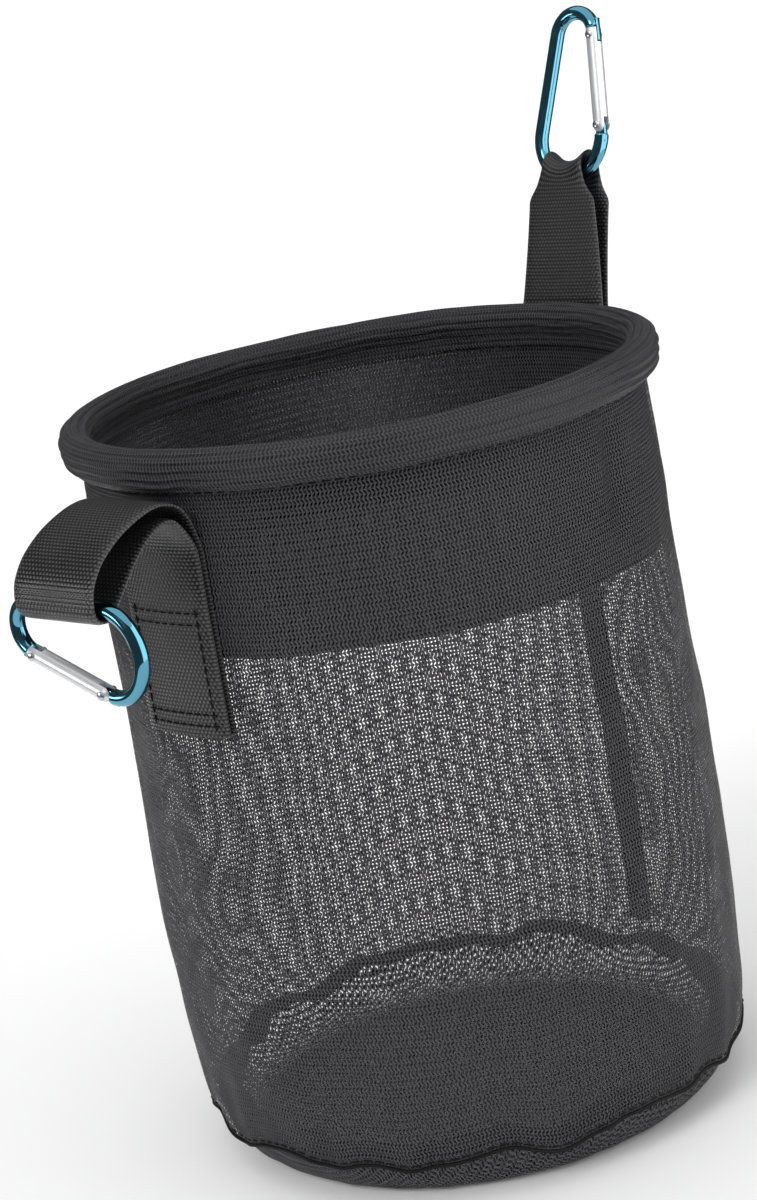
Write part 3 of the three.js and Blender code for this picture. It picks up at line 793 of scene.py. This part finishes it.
def webbing_band(name, path, side, gather=False):
    length = float(np.sum(np.linalg.norm(np.diff(np.array(path), axis=0), axis=1)))
    places, normals, run = smooth_path(path, int(length / BAND_STEP))
    rows, maps = [], []
    for (u, v), (nu, nv), s in zip(places, normals, run):
        q = u * math.sin(REAR_LEAN) + v * math.cos(REAR_LEAN)
        half = rear_half_width(q) if gather else STRAP_HALF
        on_wall = 1 - smoothstep(v, ROUND_BELOW, STRAIGHT_ABOVE) if u < 0.5 else 0
        ring, flat = [], []
        for face in (1, -1):
            for j in range(BAND_COLUMNS + 1):
                x = face * half * (1 - 2 * j / BAND_COLUMNS)
                rounded = math.sqrt(max(1 - smoothstep(abs(x) / half, EDGE_FROM, EDGE_TO), EDGE_LEAST))
                push = face * WEBBING / 2 * rounded
                radius = FOLD_RADIUS + u + nu * push
                sag = radius - math.sqrt(radius**2 - x**2)
                lift = gathered(x, q) if gather else 0
                outward = radius - on_wall * sag + lift * math.sin(REAR_LEAN)
                upward = FOLD_HEIGHT + v + nv * push + lift * math.cos(REAR_LEAN)
                ring.append((x, side * outward, upward))
                flat.append((STRAP_HALF * (1 + x / half), s))
        rows.append(ring)
        maps.append(flat + flat[:1])
    mesh = grid_mesh(name, rows, maps, closed=True)
    sealed(mesh)
    print(name, "length of webbing, mm:", round(run[-1]))
    return finished(name, mesh, webbing, 50)


front_webbing = webbing_band("front_webbing", front_path(), -1)
rear_webbing = webbing_band("rear_webbing", rear_path(), 1, gather=True)

# %% [markdown]
# ## Stitches
# The hem, the seams and the sewn ends of the straps are held by rows of lock stitches. A stitch could
# be a dash in a texture, but then it wouldn't stand up from the cloth. Geometry Nodes set a small
# thread bead at even steps along each line, turned to follow it.

# %% Stitch tree
STITCH_PITCH = 3.4
STITCH_LENGTH = 2.6
THREAD_RADIUS = 0.28
BEAD_SIDES = 7
BEAD_RINGS = 5


def stitch_tree():
    tree = bpy.data.node_groups.new("lock_stitches", "GeometryNodeTree")
    face = tree.interface
    face.new_socket("Geometry", in_out="INPUT", socket_type="NodeSocketGeometry")
    sizes = {"Pitch": STITCH_PITCH, "Stitch length": STITCH_LENGTH, "Thread radius": THREAD_RADIUS}
    for label, value in sizes.items():
        face.new_socket(label, in_out="INPUT", socket_type="NodeSocketFloat").default_value = value * MM
    face.new_socket("Geometry", in_out="OUTPUT", socket_type="NodeSocketGeometry")
    add = tree.nodes.new
    link = tree.links.new
    given = add("NodeGroupInput")
    out = add("NodeGroupOutput")
    line = add("GeometryNodeMeshToCurve")
    steps = add("GeometryNodeResampleCurve")
    steps.mode = "LENGTH"
    bead = add("GeometryNodeMeshUVSphere")
    bead.inputs["Segments"].default_value = BEAD_SIDES
    bead.inputs["Rings"].default_value = BEAD_RINGS
    bead.inputs["Radius"].default_value = 1
    half = add("ShaderNodeMath")
    half.operation = "MULTIPLY"
    half.inputs[1].default_value = 0.5
    scale = add("ShaderNodeCombineXYZ")
    tangent = add("GeometryNodeInputTangent")
    turn = add("FunctionNodeAlignRotationToVector")
    turn.axis = "X"
    put = add("GeometryNodeInstanceOnPoints")
    real = add("GeometryNodeRealizeInstances")
    finish = add("GeometryNodeSetMaterial")
    finish.inputs["Material"].default_value = black_thread
    link(given.outputs["Geometry"], line.inputs["Mesh"])
    link(line.outputs["Curve"], steps.inputs["Curve"])
    link(given.outputs["Pitch"], steps.inputs["Length"])
    link(given.outputs["Stitch length"], half.inputs[0])
    link(half.outputs[0], scale.inputs["X"])
    link(given.outputs["Thread radius"], scale.inputs["Y"])
    link(given.outputs["Thread radius"], scale.inputs["Z"])
    link(tangent.outputs["Tangent"], turn.inputs["Vector"])
    link(steps.outputs["Curve"], put.inputs["Points"])
    link(bead.outputs["Mesh"], put.inputs["Instance"])
    link(turn.outputs["Rotation"], put.inputs["Rotation"])
    link(scale.outputs["Vector"], put.inputs["Scale"])
    link(put.outputs["Instances"], real.inputs["Geometry"])
    link(real.outputs["Geometry"], finish.inputs["Geometry"])
    link(finish.outputs["Geometry"], out.inputs["Geometry"])
    return tree


STITCHES = stitch_tree()
SOCKETS = {item.name: item.identifier for item in STITCHES.interface.items_tree if item.in_out == "INPUT"}


def stitched(name, lines, pitch=STITCH_PITCH):
    """Rows of stitches along lines of points in millimetres. A line that ends where it starts is closed."""
    points, edges = [], []
    for line in lines:
        start = len(points)
        points += [Vector(p) * MM for p in line]
        edges += [(start + i, start + i + 1) for i in range(len(line) - 1)]
    mesh = bpy.data.meshes.new(name)
    mesh.from_pydata(points, edges, [])
    piece = bpy.data.objects.new(name, mesh)
    bpy.context.scene.collection.objects.link(piece)
    sew = piece.modifiers.new("stitches", "NODES")
    sew.node_group = STITCHES
    sew[SOCKETS["Pitch"]] = pitch * MM
    applied(piece)
    for polygon in piece.data.polygons:
        polygon.use_smooth = True
    print(name, "faces:", len(piece.data.polygons))
    return piece


print("nodes of the stitch tree:", len(STITCHES.nodes))

# %% [markdown]
# One row runs round the foot of the hem, one round the wall just above the base seam, two up the side
# lap, and each strap's end is sewn down in a box.

# %% Rows of stitches
ROW_STEPS = 480
PROUD = 0.1  # from the wall to the middle of a stitch
HEM_ROW_RADIUS = wall_radius(HEM_BOTTOM) + 1.55
HEM_ROW_HEIGHT = HEM_BOTTOM + 0.75
BASE_ROW = 1.4  # height of the row above the base seam
LAP_ROW = 2.6 / 76  # angle from the middle of the lap to each of its rows
LAP_ROW_STEP = 1.4
BOX_BOTTOM = 134.5
BOX_TOP = 164
BOX_HALF = 11.5
BOX_DOUBLE = 3  # between the two rows at each end of the box
BOX_STEPS = 12
BOX_OFFSET = OUTER_PLY + WEBBING / 2 + 0.12  # from the wall to a stitch on the strap
BOX_PITCH = 2.8


def ring_line(radius, height):
    angles = [TURN * i / ROW_STEPS for i in range(ROW_STEPS + 1)]
    return [around(radius(a), a, height(a)) for a in angles]


def base_row_height(theta):
    return seam_height(theta) + BASE_ROW


def base_row_radius(theta):
    return slack_radius(theta, base_row_height(theta)) + PROUD


def lap_line(theta):
    heights = np.arange(LAP_BOTTOM, FACING_BOTTOM, LAP_ROW_STEP)
    return [around(slack_radius(theta, z) + PROUD, theta, z) for z in heights]


def patch_point(x, z, side):
    radius = wall_radius(z) + BOX_OFFSET
    return (x, side * math.sqrt(radius**2 - x**2), z)


def box_lines(side):
    shares = [i / BOX_STEPS for i in range(BOX_STEPS + 1)]
    lines = []
    for z in (BOX_BOTTOM, BOX_BOTTOM + BOX_DOUBLE, BOX_TOP - BOX_DOUBLE, BOX_TOP):
        lines.append([patch_point(-BOX_HALF + 2 * BOX_HALF * share, z, side) for share in shares])
    heights = [BOX_BOTTOM + (BOX_TOP - BOX_BOTTOM) * share for share in shares]
    for x in (-BOX_HALF, BOX_HALF):
        lines.append([patch_point(x, z, side) for z in heights])
    return lines


hem_row = ring_line(lambda theta: HEM_ROW_RADIUS, lambda theta: HEM_ROW_HEIGHT)
hem_stitches = stitched("hem_stitches", [hem_row])
base_stitches = stitched("base_stitches", [ring_line(base_row_radius, base_row_height)])
side_stitches = stitched("side_stitches", [lap_line(math.pi - LAP_ROW), lap_line(math.pi + LAP_ROW)])
strap_stitches = stitched("strap_stitches", box_lines(-1) + box_lines(1), pitch=BOX_PITCH)

# %% [markdown]
# ## Snap hooks
# A hook is a rod bent to a pear shape with a gate across its open side. The gate is a tube, slotted at
# both ends: at the wide end it hinges on a pin through the rod's flattened tip, and at the narrow end
# its cross pin drops behind the hooked nose. Both hooks are made by the same functions, in a frame
# where the wide end is centred on the origin, +Y runs to the narrow end and +X to the gate.

# %% Hook sizes and frames
ROD = 2.0  # radius of the rod
WIDE_END = 11.2  # radius of the rod's middle line there
NARROW_END = 6.75
END_SPACING = 28.0  # between the centres of the two ends
GATE = 2.2  # radius of the gate
PIN = 0.65  # radius of a pin
PIN_HEAD = 1.15
PIN_INSET = 1.0  # from the ends of the straight side to the pins
TANG = 1.5  # thickness of a flattened tip
TANG_WIDTH = 1.55  # half of a tip's width
HINGE_SHOULDER = 2.9  # from the hinge pin to the round rod
NOSE_SHOULDER = 2.5  # from the latch pin to the round rod
SIDE_ANGLE = math.asin((WIDE_END - NARROW_END) / END_SPACING)
SPINE = END_SPACING * math.cos(SIDE_ANGLE)
GATE_LENGTH = SPINE - 2 * PIN_INSET
GATE_END = GATE_LENGTH + 1.9

side_out = Vector((math.cos(SIDE_ANGLE), math.sin(SIDE_ANGLE), 0))
side_along = Vector((-math.sin(SIDE_ANGLE), math.cos(SIDE_ANGLE), 0))
hinge_place = side_out * WIDE_END + side_along * PIN_INSET
gate_frame = Matrix.Translation(hinge_place) @ Matrix.Rotation(SIDE_ANGLE, 4, "Z")

rear_outward, rear_upward = leaning(0, REAR_ROD + WIDE_END)
rear_place = Vector((0, FOLD_RADIUS + rear_outward, FOLD_HEIGHT + rear_upward))
rear_frame = Matrix.Translation(rear_place) @ Matrix.Rotation(math.pi / 2 - REAR_LEAN, 4, "X")

front_axes = Matrix(((0, -1, 0, 0), (0, 0, 1, 0), (-1, 0, 0, 0), (0, 0, 0, 1)))
front_frame = (
    Matrix.Translation((SPINE / 2, -FOLD_RADIUS - FRONT_ROD[0], FOLD_HEIGHT + FRONT_ROD[1]))
    @ front_axes
    @ Matrix.Rotation(SIDE_ANGLE, 4, "Z")
    @ Matrix.Translation((WIDE_END * math.cos(SIDE_ANGLE), -WIDE_END * math.sin(SIDE_ANGLE), 0))
)
print("hook length, mm:", END_SPACING + WIDE_END + NARROW_END + 2 * ROD)

# %% [markdown]
# The rod is a circle swept along the pear-shaped line, closed at both ends by a small dome. A curve with
# a round bevel would give the sweep, but not the domes. The two flattened tips are thin plates with
# rounded edges.

# %% Rod and tips
ROD_SIDES = 24
ROD_STEPS = 110
DOME_HEIGHT = 0.9
DOME_SHARES = (0.12, 0.45, 0.75, 0.93)  # from the top of a dome to its foot
NOTCH = 1.0  # radius of the nose's notch, which holds the latch pin
NOSE_LIP = 1.9  # from the latch pin to the nose's lip
NOSE_INSET = 0.1  # of the nose's edge behind the gate's side


def rod_line():
    """Points and directions of the rod's middle line, from the hinge round to the nose."""
    wide_from = SIDE_ANGLE - (HINGE_SHOULDER - PIN_INSET) / WIDE_END
    wide_to = -math.pi - SIDE_ANGLE
    narrow_from = math.pi - SIDE_ANGLE
    narrow_to = SIDE_ANGLE + (NOSE_SHOULDER - PIN_INSET) / NARROW_END
    wide = (wide_from - wide_to) * WIDE_END
    narrow = (narrow_from - narrow_to) * NARROW_END
    line = []
    for i in range(ROD_STEPS + 1):
        run = (wide + SPINE + narrow) * i / ROD_STEPS
        if run < wide:
            a = wide_from - run / WIDE_END
            point = (WIDE_END * math.cos(a), WIDE_END * math.sin(a))
            along = (math.sin(a), -math.cos(a))
        elif run < wide + SPINE:
            r = run - wide
            along = (math.sin(SIDE_ANGLE), math.cos(SIDE_ANGLE))
            point = (-WIDE_END * along[1] + r * along[0], WIDE_END * along[0] + r * along[1])
        else:
            a = narrow_from - (run - wide - SPINE) / NARROW_END
            point = (NARROW_END * math.cos(a), END_SPACING + NARROW_END * math.sin(a))
            along = (math.sin(a), -math.cos(a))
        line.append((Vector((*point, 0)), Vector((*along, 0))))
    return line


def ring_faces(count, sides):
    """Quads between rings of points, and a cap on the first ring and on the last."""
    faces = []
    for i in range(count - 1):
        low = i * sides
        high = low + sides
        for k in range(sides):
            n = (k + 1) % sides
            faces.append((low + k, low + n, high + n, high + k))
    last = (count - 1) * sides
    faces.append(tuple(range(sides))[::-1])
    faces.append(tuple(last + k for k in range(sides)))
    return faces


def tube_rings(rings):
    """A closed round shape from (centre, direction, radius) rings, as points and faces."""
    points = []
    for centre, along, radius in rings:
        side = Vector((-along.y, along.x, 0))
        for k in range(ROD_SIDES):
            a = TURN * k / ROD_SIDES
            points.append(centre + radius * (math.cos(a) * side + math.sin(a) * Vector((0, 0, 1))))
    return points, ring_faces(len(rings), ROD_SIDES)


def domed(line, radius, height):
    """Rings along a line with a low dome at each end."""
    start, start_along = line[0]
    end, end_along = line[-1]
    dome = [(height * (1 - t), radius * math.sqrt(1 - (1 - t) ** 2)) for t in DOME_SHARES]
    rings = [(start - start_along * past, start_along, size) for past, size in dome]
    rings += [(point, along, radius) for point, along in line]
    rings += [(end + end_along * past, end_along, size) for past, size in dome[::-1]]
    return tube_rings(rings)


def add_shape(shell, points, faces, place):
    made = [shell.verts.new(place @ Vector(p)) for p in points]
    for face in faces:
        shell.faces.new([made[i] for i in face])


def add_plate(shell, outline, thickness, place, bevel=0.2):
    """A flat plate with softened edges, cut to an outline of (x, y) points."""
    plate = bmesh.new()
    low = plate.faces.new([plate.verts.new((x, y, -thickness / 2)) for x, y in outline])
    raised = bmesh.ops.extrude_face_region(plate, geom=[low])["geom"]
    top = [v for v in raised if isinstance(v, bmesh.types.BMVert)]
    bmesh.ops.translate(plate, vec=(0, 0, thickness), verts=top)
    bmesh.ops.recalc_face_normals(plate, faces=plate.faces)
    rim = [e for e in plate.edges if e.calc_face_angle(0) > 0.9]
    bmesh.ops.bevel(plate, geom=rim, offset=bevel, segments=2, profile=0.5, affect="EDGES")
    plate.verts.index_update()
    points = [v.co.copy() for v in plate.verts]
    faces = [[v.index for v in f.verts] for f in plate.faces]
    plate.free()
    add_shape(shell, points, faces, place)


def tip_outlines():
    foot = -HINGE_SHOULDER - ROD
    hinge = arc((0, 0), TANG_WIDTH, 0, math.pi, 12) + [(-TANG_WIDTH, foot), (TANG_WIDTH, foot)]
    reach = GATE - NOSE_INSET
    top = GATE_LENGTH + NOSE_SHOULDER + ROD
    lip = GATE_LENGTH - NOSE_LIP
    nose = [(reach, lip), (reach, top), (-TANG_WIDTH, top), (-TANG_WIDTH, GATE_LENGTH + NOTCH)]
    nose += arc((0, GATE_LENGTH), NOTCH, math.pi / 2, -math.pi / 2, 10)
    nose += [(-TANG_WIDTH, GATE_LENGTH - NOTCH), (-TANG_WIDTH, lip)]
    return hinge, nose


def metal_piece(name, shell, place, material, smooth_angle=40):
    bmesh.ops.recalc_face_normals(shell, faces=shell.faces)
    shell.transform(Matrix.Scale(MM, 4) @ place)
    mesh = bpy.data.meshes.new(name)
    shell.to_mesh(mesh)
    shell.free()
    return finished(name, mesh, material, smooth_angle)


def hook_rod(name, place):
    shell = bmesh.new()
    add_shape(shell, *domed(rod_line(), ROD, DOME_HEIGHT), Matrix())
    for outline in tip_outlines():
        add_plate(shell, outline, TANG, gate_frame)
    return metal_piece(name, shell, place, blue_anodised)


middle = [point for point, along in rod_line()]
print("length of the rod, mm:", round(sum((b - a).length for a, b in zip(middle, middle[1:]))))

# %% [markdown]
# The gate is a round bar with a domed heel. The two slots are cut by Boolean modifiers, because that
# is how the real one is made: turned first, then milled. The pins are turned shapes with low round heads.

# %% Gates and pins
HEEL_ANGLES = (0.15, 0.45, 0.8, 1.15, 1.45)  # of the rings on the domed heel
SLOT_WIDTH = TANG + 0.5
SLOT_PAST = 6  # a cutter goes this far past the gate's end
HINGE_SLOT = (-SLOT_PAST, TANG_WIDTH + 0.45)
NOSE_SLOT = (GATE_LENGTH - PIN - 1.75, GATE_END + SLOT_PAST)
CUTTER_DEPTH = 8
PIN_SIDES = 20
PIN_NECK = GATE + 0.1  # the head starts here, from the middle of the pin
PIN_END = GATE + 0.55


def slot_cutter(low, high):
    cutter = bmesh.new()
    bmesh.ops.create_cube(cutter, size=1)
    place = gate_frame @ Matrix.Translation((0, (low + high) / 2, 0))
    cutter.transform(place @ Matrix.Diagonal((CUTTER_DEPTH, high - low, SLOT_WIDTH, 1)))
    return cutter


def gate_bar(name, place):
    heel = [(-GATE * math.cos(a), GATE * math.sin(a)) for a in HEEL_ANGLES]
    straight = [(y, GATE) for y in np.linspace(0, GATE_END - 0.35, 14)]
    tip = [(GATE_END - 0.1, GATE - 0.12), (GATE_END, GATE - 0.4)]
    rings = [(Vector((0, y, 0)), Vector((0, 1, 0)), radius) for y, radius in heel + straight + tip]
    shell = bmesh.new()
    add_shape(shell, *tube_rings(rings), gate_frame)
    bar = metal_piece(name, shell, place, satin_silver)
    for low, high in (HINGE_SLOT, NOSE_SLOT):
        cutter = metal_piece("cutter", slot_cutter(low, high), place, satin_silver)
        cut = bar.modifiers.new("slot", "BOOLEAN")
        cut.object = cutter
        cut.operation = "DIFFERENCE"
        cut.solver = "EXACT"
        applied(bar)
        bpy.data.objects.remove(cutter)
    bar.data.set_sharp_from_angle(angle=math.radians(35))
    return bar


def turned_pin(name, along_gate, place):
    profile = [
        (0.15, -PIN_END),
        (0.7, -PIN_END + 0.06),
        (PIN_HEAD, -PIN_NECK - 0.12),
        (PIN_HEAD, -PIN_NECK),
        (PIN, -PIN_NECK),
    ]
    profile += [(radius, -height) for radius, height in profile[::-1]]
    points = []
    for radius, height in profile:
        for k in range(PIN_SIDES):
            a = TURN * k / PIN_SIDES
            points.append((radius * math.cos(a), radius * math.sin(a), height))
    shell = bmesh.new()
    faces = ring_faces(len(profile), PIN_SIDES)
    add_shape(shell, points, faces, gate_frame @ Matrix.Translation((0, along_gate, 0)))
    return metal_piece(name, shell, place, bright_steel, 30)


hooks = {}
for end, place in (("rear", rear_frame), ("front", front_frame)):
    hooks[end] = {
        "frame": hook_rod(f"{end}_hook_rod", place),
        "gate": gate_bar(f"{end}_gate_bar", place),
        "hinge_pin": turned_pin(f"{end}_hinge_rivet", 0, place),
        "latch_pin": turned_pin(f"{end}_latch_rivet", GATE_LENGTH, place),
    }
print("hook pieces:", sum(len(pieces) for pieces in hooks.values()))

# %% [markdown]
# ## Joining the pieces to the frame
# The cloth pieces, the seams and the stitches ride on the bag. A strap is one piece over its fold, and is
# left as it is made. Each hook's rod and hinge pin ride together, and the latch pin goes with its gate.

# %% Bodies and stand-ins
for piece in (wall_cloth, facing_cloth, hem_cloth, base_cloth, base_binding, side_lap):
    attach(piece, "bag")
for piece in (hem_stitches, base_stitches, side_stitches, strap_stitches, overlock_and_shade_cord):
    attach(piece, "bag")
for piece, node in (
    (wall_cloth, "mesh_wall"),
    (facing_cloth, "top_facing"),
    (hem_cloth, "rim_hem"),
    (base_cloth, "base_panel"),
    (base_binding, "base_seam"),
    (side_lap, "side_seam"),
):
    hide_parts(node)

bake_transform(rear_webbing)
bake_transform(front_webbing)
for piece, end in ((rear_webbing, "rear"), (front_webbing, "front")):
    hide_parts(f"{end}_strap_patch", f"{end}_strap_loop")
for end, pieces in hooks.items():
    for role, piece in pieces.items():
        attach(piece, f"{end}_hook" if role in ("frame", "hinge_pin") else f"{end}_gate")
        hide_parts(f"{end}_hook_{role}")

# %% [markdown]
# The four large pieces are cut from flat cloth. The hoop in the hem and the springs and plungers in the
# gates stay as solids, since nothing finer would show, and only get a material.

plain_solids = {"rim_hoop": hoop_plastic, "hoop_joiner": hoop_plastic}
for end in hooks:
    plain_solids[f"{end}_hook_gate_plunger"] = bright_steel
    plain_solids[f"{end}_hook_gate_spring"] = bright_steel
for node, material in plain_solids.items():
    solid = bpy.data.objects[node].data
    solid.materials.clear()
    solid.materials.append(material)
print("plain solids:", ", ".join(plain_solids))

# %% [markdown]
# ## Floor, light and camera
# The floor is plain and pale. The world lights the bag softly from above and a little from both sides,
# and looks plain white to the camera and in reflections. A wide sun from the front gives the shadow its
# side, and a weak one fills the far side.

# %% Floor and light
FLOOR_HALF = 30
FLOOR_DROP = 0.0005  # below the base, in metres

corners = [(-FLOOR_HALF, -FLOOR_HALF, 0), (FLOOR_HALF, -FLOOR_HALF, 0)]
corners += [(FLOOR_HALF, FLOOR_HALF, 0), (-FLOOR_HALF, FLOOR_HALF, 0)]
floor_mesh = bpy.data.meshes.new("floor")
floor_mesh.from_pydata(corners, [], [(0, 1, 2, 3)])
floor = bpy.data.objects.new("floor", floor_mesh)
bpy.context.scene.collection.objects.link(floor)
floor.location.z = -FLOOR_DROP
paint = Recipe("floor_paint")
paint.set(Base_Color=paint.mix(paint.speckle(3, 2), (0.93, 0.93, 0.93), (0.95, 0.95, 0.95)), Roughness=0.9)
floor_mesh.materials.append(paint.material)


def studio_world():
    world = bpy.data.worlds.new("studio")
    world.use_nodes = True
    nodes = world.node_tree.nodes
    link = world.node_tree.links.new

    def ease(value, low, high, to_low, to_high):
        step = nodes.new("ShaderNodeMapRange")
        step.interpolation_type = "SMOOTHSTEP"
        settings = {"From Min": low, "From Max": high, "To Min": to_low, "To Max": to_high}
        for key, setting in settings.items():
            step.inputs[key].default_value = setting
        link(value, step.inputs["Value"])
        return step.outputs["Result"]

    def join(operation, *values):
        step = nodes.new("ShaderNodeMath")
        step.operation = operation
        for i, value in enumerate(values):
            link(value, step.inputs[i])
        return step.outputs[0]

    place = nodes.new("ShaderNodeTexCoord")
    split = nodes.new("ShaderNodeSeparateXYZ")
    link(place.outputs["Generated"], split.inputs["Vector"])
    sideways = join("ABSOLUTE", split.outputs["X"])
    above = ease(split.outputs["Z"], low=0.3, high=0.6, to_low=0.03, to_high=1.1)
    sides = ease(sideways, low=0.72, high=0.86, to_low=0.0, to_high=0.6)
    ray = nodes.new("ShaderNodeLightPath")
    seen = ray.outputs["Is Camera Ray"]
    for kind in ("Is Glossy Ray", "Is Transmission Ray"):
        seen = join("MAXIMUM", seen, ray.outputs[kind])
    plain = nodes.new("ShaderNodeMix")
    link(seen, plain.inputs["Factor"])
    link(join("ADD", above, sides), plain.inputs["A"])
    plain.inputs["B"].default_value = 1
    background = nodes["Background"]
    background.inputs["Color"].default_value = (1, 1, 1, 1)
    link(plain.outputs["Result"], background.inputs["Strength"])
    return world


def sun(name, strength, softness, azimuth, elevation):
    light = bpy.data.lights.new(name, "SUN")
    light.energy = strength
    light.angle = math.radians(softness)
    lamp = bpy.data.objects.new(name, light)
    bpy.context.scene.collection.objects.link(lamp)
    lamp.rotation_euler = (math.radians(90 - elevation), 0, math.radians(azimuth))


bpy.context.scene.world = studio_world()
sun("key", strength=1.0, softness=24, azimuth=5, elevation=38)
sun("fill", strength=0.12, softness=30, azimuth=115, elevation=35)
print("lights:", ", ".join(light.name for light in bpy.data.lights))

# %% [markdown]
# Bright metal shows whatever is round it. In a studio, dark cards and bright panels are set up out of
# the picture, so that a polished rod gets crisp dark and light bands. Here they are a curved screen, with
# a lit panel in its gap to the right of the camera and a small bright one on the left, which gives the
# bend of the front strap its satin glow. Only reflections see them.

# %% Screen and panels
SCREEN_RADIUS = 0.5  # in metres, as the heights below
SCREEN_TOP = 0.75
PANEL_FROM = 66  # degrees round the bag from the front strap
PANEL_TO = 150
SIDE_PANEL_FROM = -50
SIDE_PANEL_TO = -20
SIDE_PANEL_RADIUS = SCREEN_RADIUS - 0.02
SIDE_PANEL_BOTTOM = 0.17
SIDE_PANEL_TOP = 0.27
CARD_STEPS = 40


def curved_card(name, start, end, material, radius=SCREEN_RADIUS, bottom=0, top=SCREEN_TOP):
    points = []
    for i in range(CARD_STEPS + 1):
        theta = math.radians(start + (end - start) * i / CARD_STEPS)
        points += [around(radius, theta, z) for z in (bottom, top)]
    faces = [(2 * i, 2 * i + 1, 2 * i + 3, 2 * i + 2) for i in range(CARD_STEPS)]
    mesh = bpy.data.meshes.new(name)
    mesh.from_pydata(points, [], faces)
    mesh.materials.append(material)
    card = bpy.data.objects.new(name, mesh)
    bpy.context.scene.collection.objects.link(card)
    card.visible_camera = False
    card.visible_diffuse = False
    card.visible_transmission = False
    card.visible_shadow = False
    print(name, "from", start, "to", end, "degrees")


def dark_card():
    card = Recipe("dark_card")
    card.set(Base_Color=card.mix(card.speckle(4), (0.06, 0.06, 0.06), (0.1, 0.1, 0.1)), Roughness=0.9)
    return card.material


def lit_panel(name, strength):
    panel = Recipe(name)
    panel.set(Base_Color=(0, 0, 0, 1), Emission_Color=(1, 1, 1, 1), Emission_Strength=strength)
    return panel.material


curved_card("screen", PANEL_TO, PANEL_FROM + 360, dark_card())
curved_card("panel", PANEL_FROM, PANEL_TO, lit_panel("bright_panel", strength=2.2))
curved_card(
    "side_panel",
    SIDE_PANEL_FROM,
    SIDE_PANEL_TO,
    lit_panel("brighter_panel", strength=5.0),
    radius=SIDE_PANEL_RADIUS,
    bottom=SIDE_PANEL_BOTTOM,
    top=SIDE_PANEL_TOP,
)

# %% [markdown]
# The camera looks down a little from the front and right. Its lens is a short telephoto, which suits the
# slight convergence of the bag's sides. It is rolled, since the bag hangs at a slant in the picture.

# %% Camera
VIEW_AZIMUTH = math.radians(47)
VIEW_ELEVATION = math.radians(15)
VIEW_ROLL = math.radians(10.4)
DISTANCE = 0.8
PIXELS_PER_METRE = 3670  # at that distance
PICTURE_WIDTH = 757
PICTURE_HEIGHT = 1200
SENSOR = 36
BAG_MIDDLE = Vector((0, 0, 0.104))
MIDDLE_IN_PICTURE = (420, 731)

level_share = math.cos(VIEW_ELEVATION)
back = Vector((
    math.sin(VIEW_AZIMUTH) * level_share,
    -math.cos(VIEW_AZIMUTH) * level_share,
    math.sin(VIEW_ELEVATION),
))
level = Vector((math.cos(VIEW_AZIMUTH), math.sin(VIEW_AZIMUTH), 0))
upright = back.cross(level)
right = level * math.cos(VIEW_ROLL) - upright * math.sin(VIEW_ROLL)
up = upright * math.cos(VIEW_ROLL) + level * math.sin(VIEW_ROLL)
shift_right = (PICTURE_WIDTH / 2 - MIDDLE_IN_PICTURE[0]) / PIXELS_PER_METRE
shift_up = (MIDDLE_IN_PICTURE[1] - PICTURE_HEIGHT / 2) / PIXELS_PER_METRE
aim = BAG_MIDDLE + right * shift_right + up * shift_up

lens = bpy.data.cameras.new("camera")
lens.sensor_width = SENSOR
lens.lens = SENSOR * PIXELS_PER_METRE * DISTANCE / PICTURE_HEIGHT
camera = bpy.data.objects.new("camera", lens)
turned = Matrix((right, up, back)).transposed().to_4x4()
camera.matrix_world = Matrix.Translation(aim + back * DISTANCE) @ turned
bpy.context.scene.collection.objects.link(camera)
bpy.context.scene.camera = camera
bpy.context.scene.view_settings.view_transform = "Standard"
print("lens, mm:", round(lens.lens))

# %% [markdown]
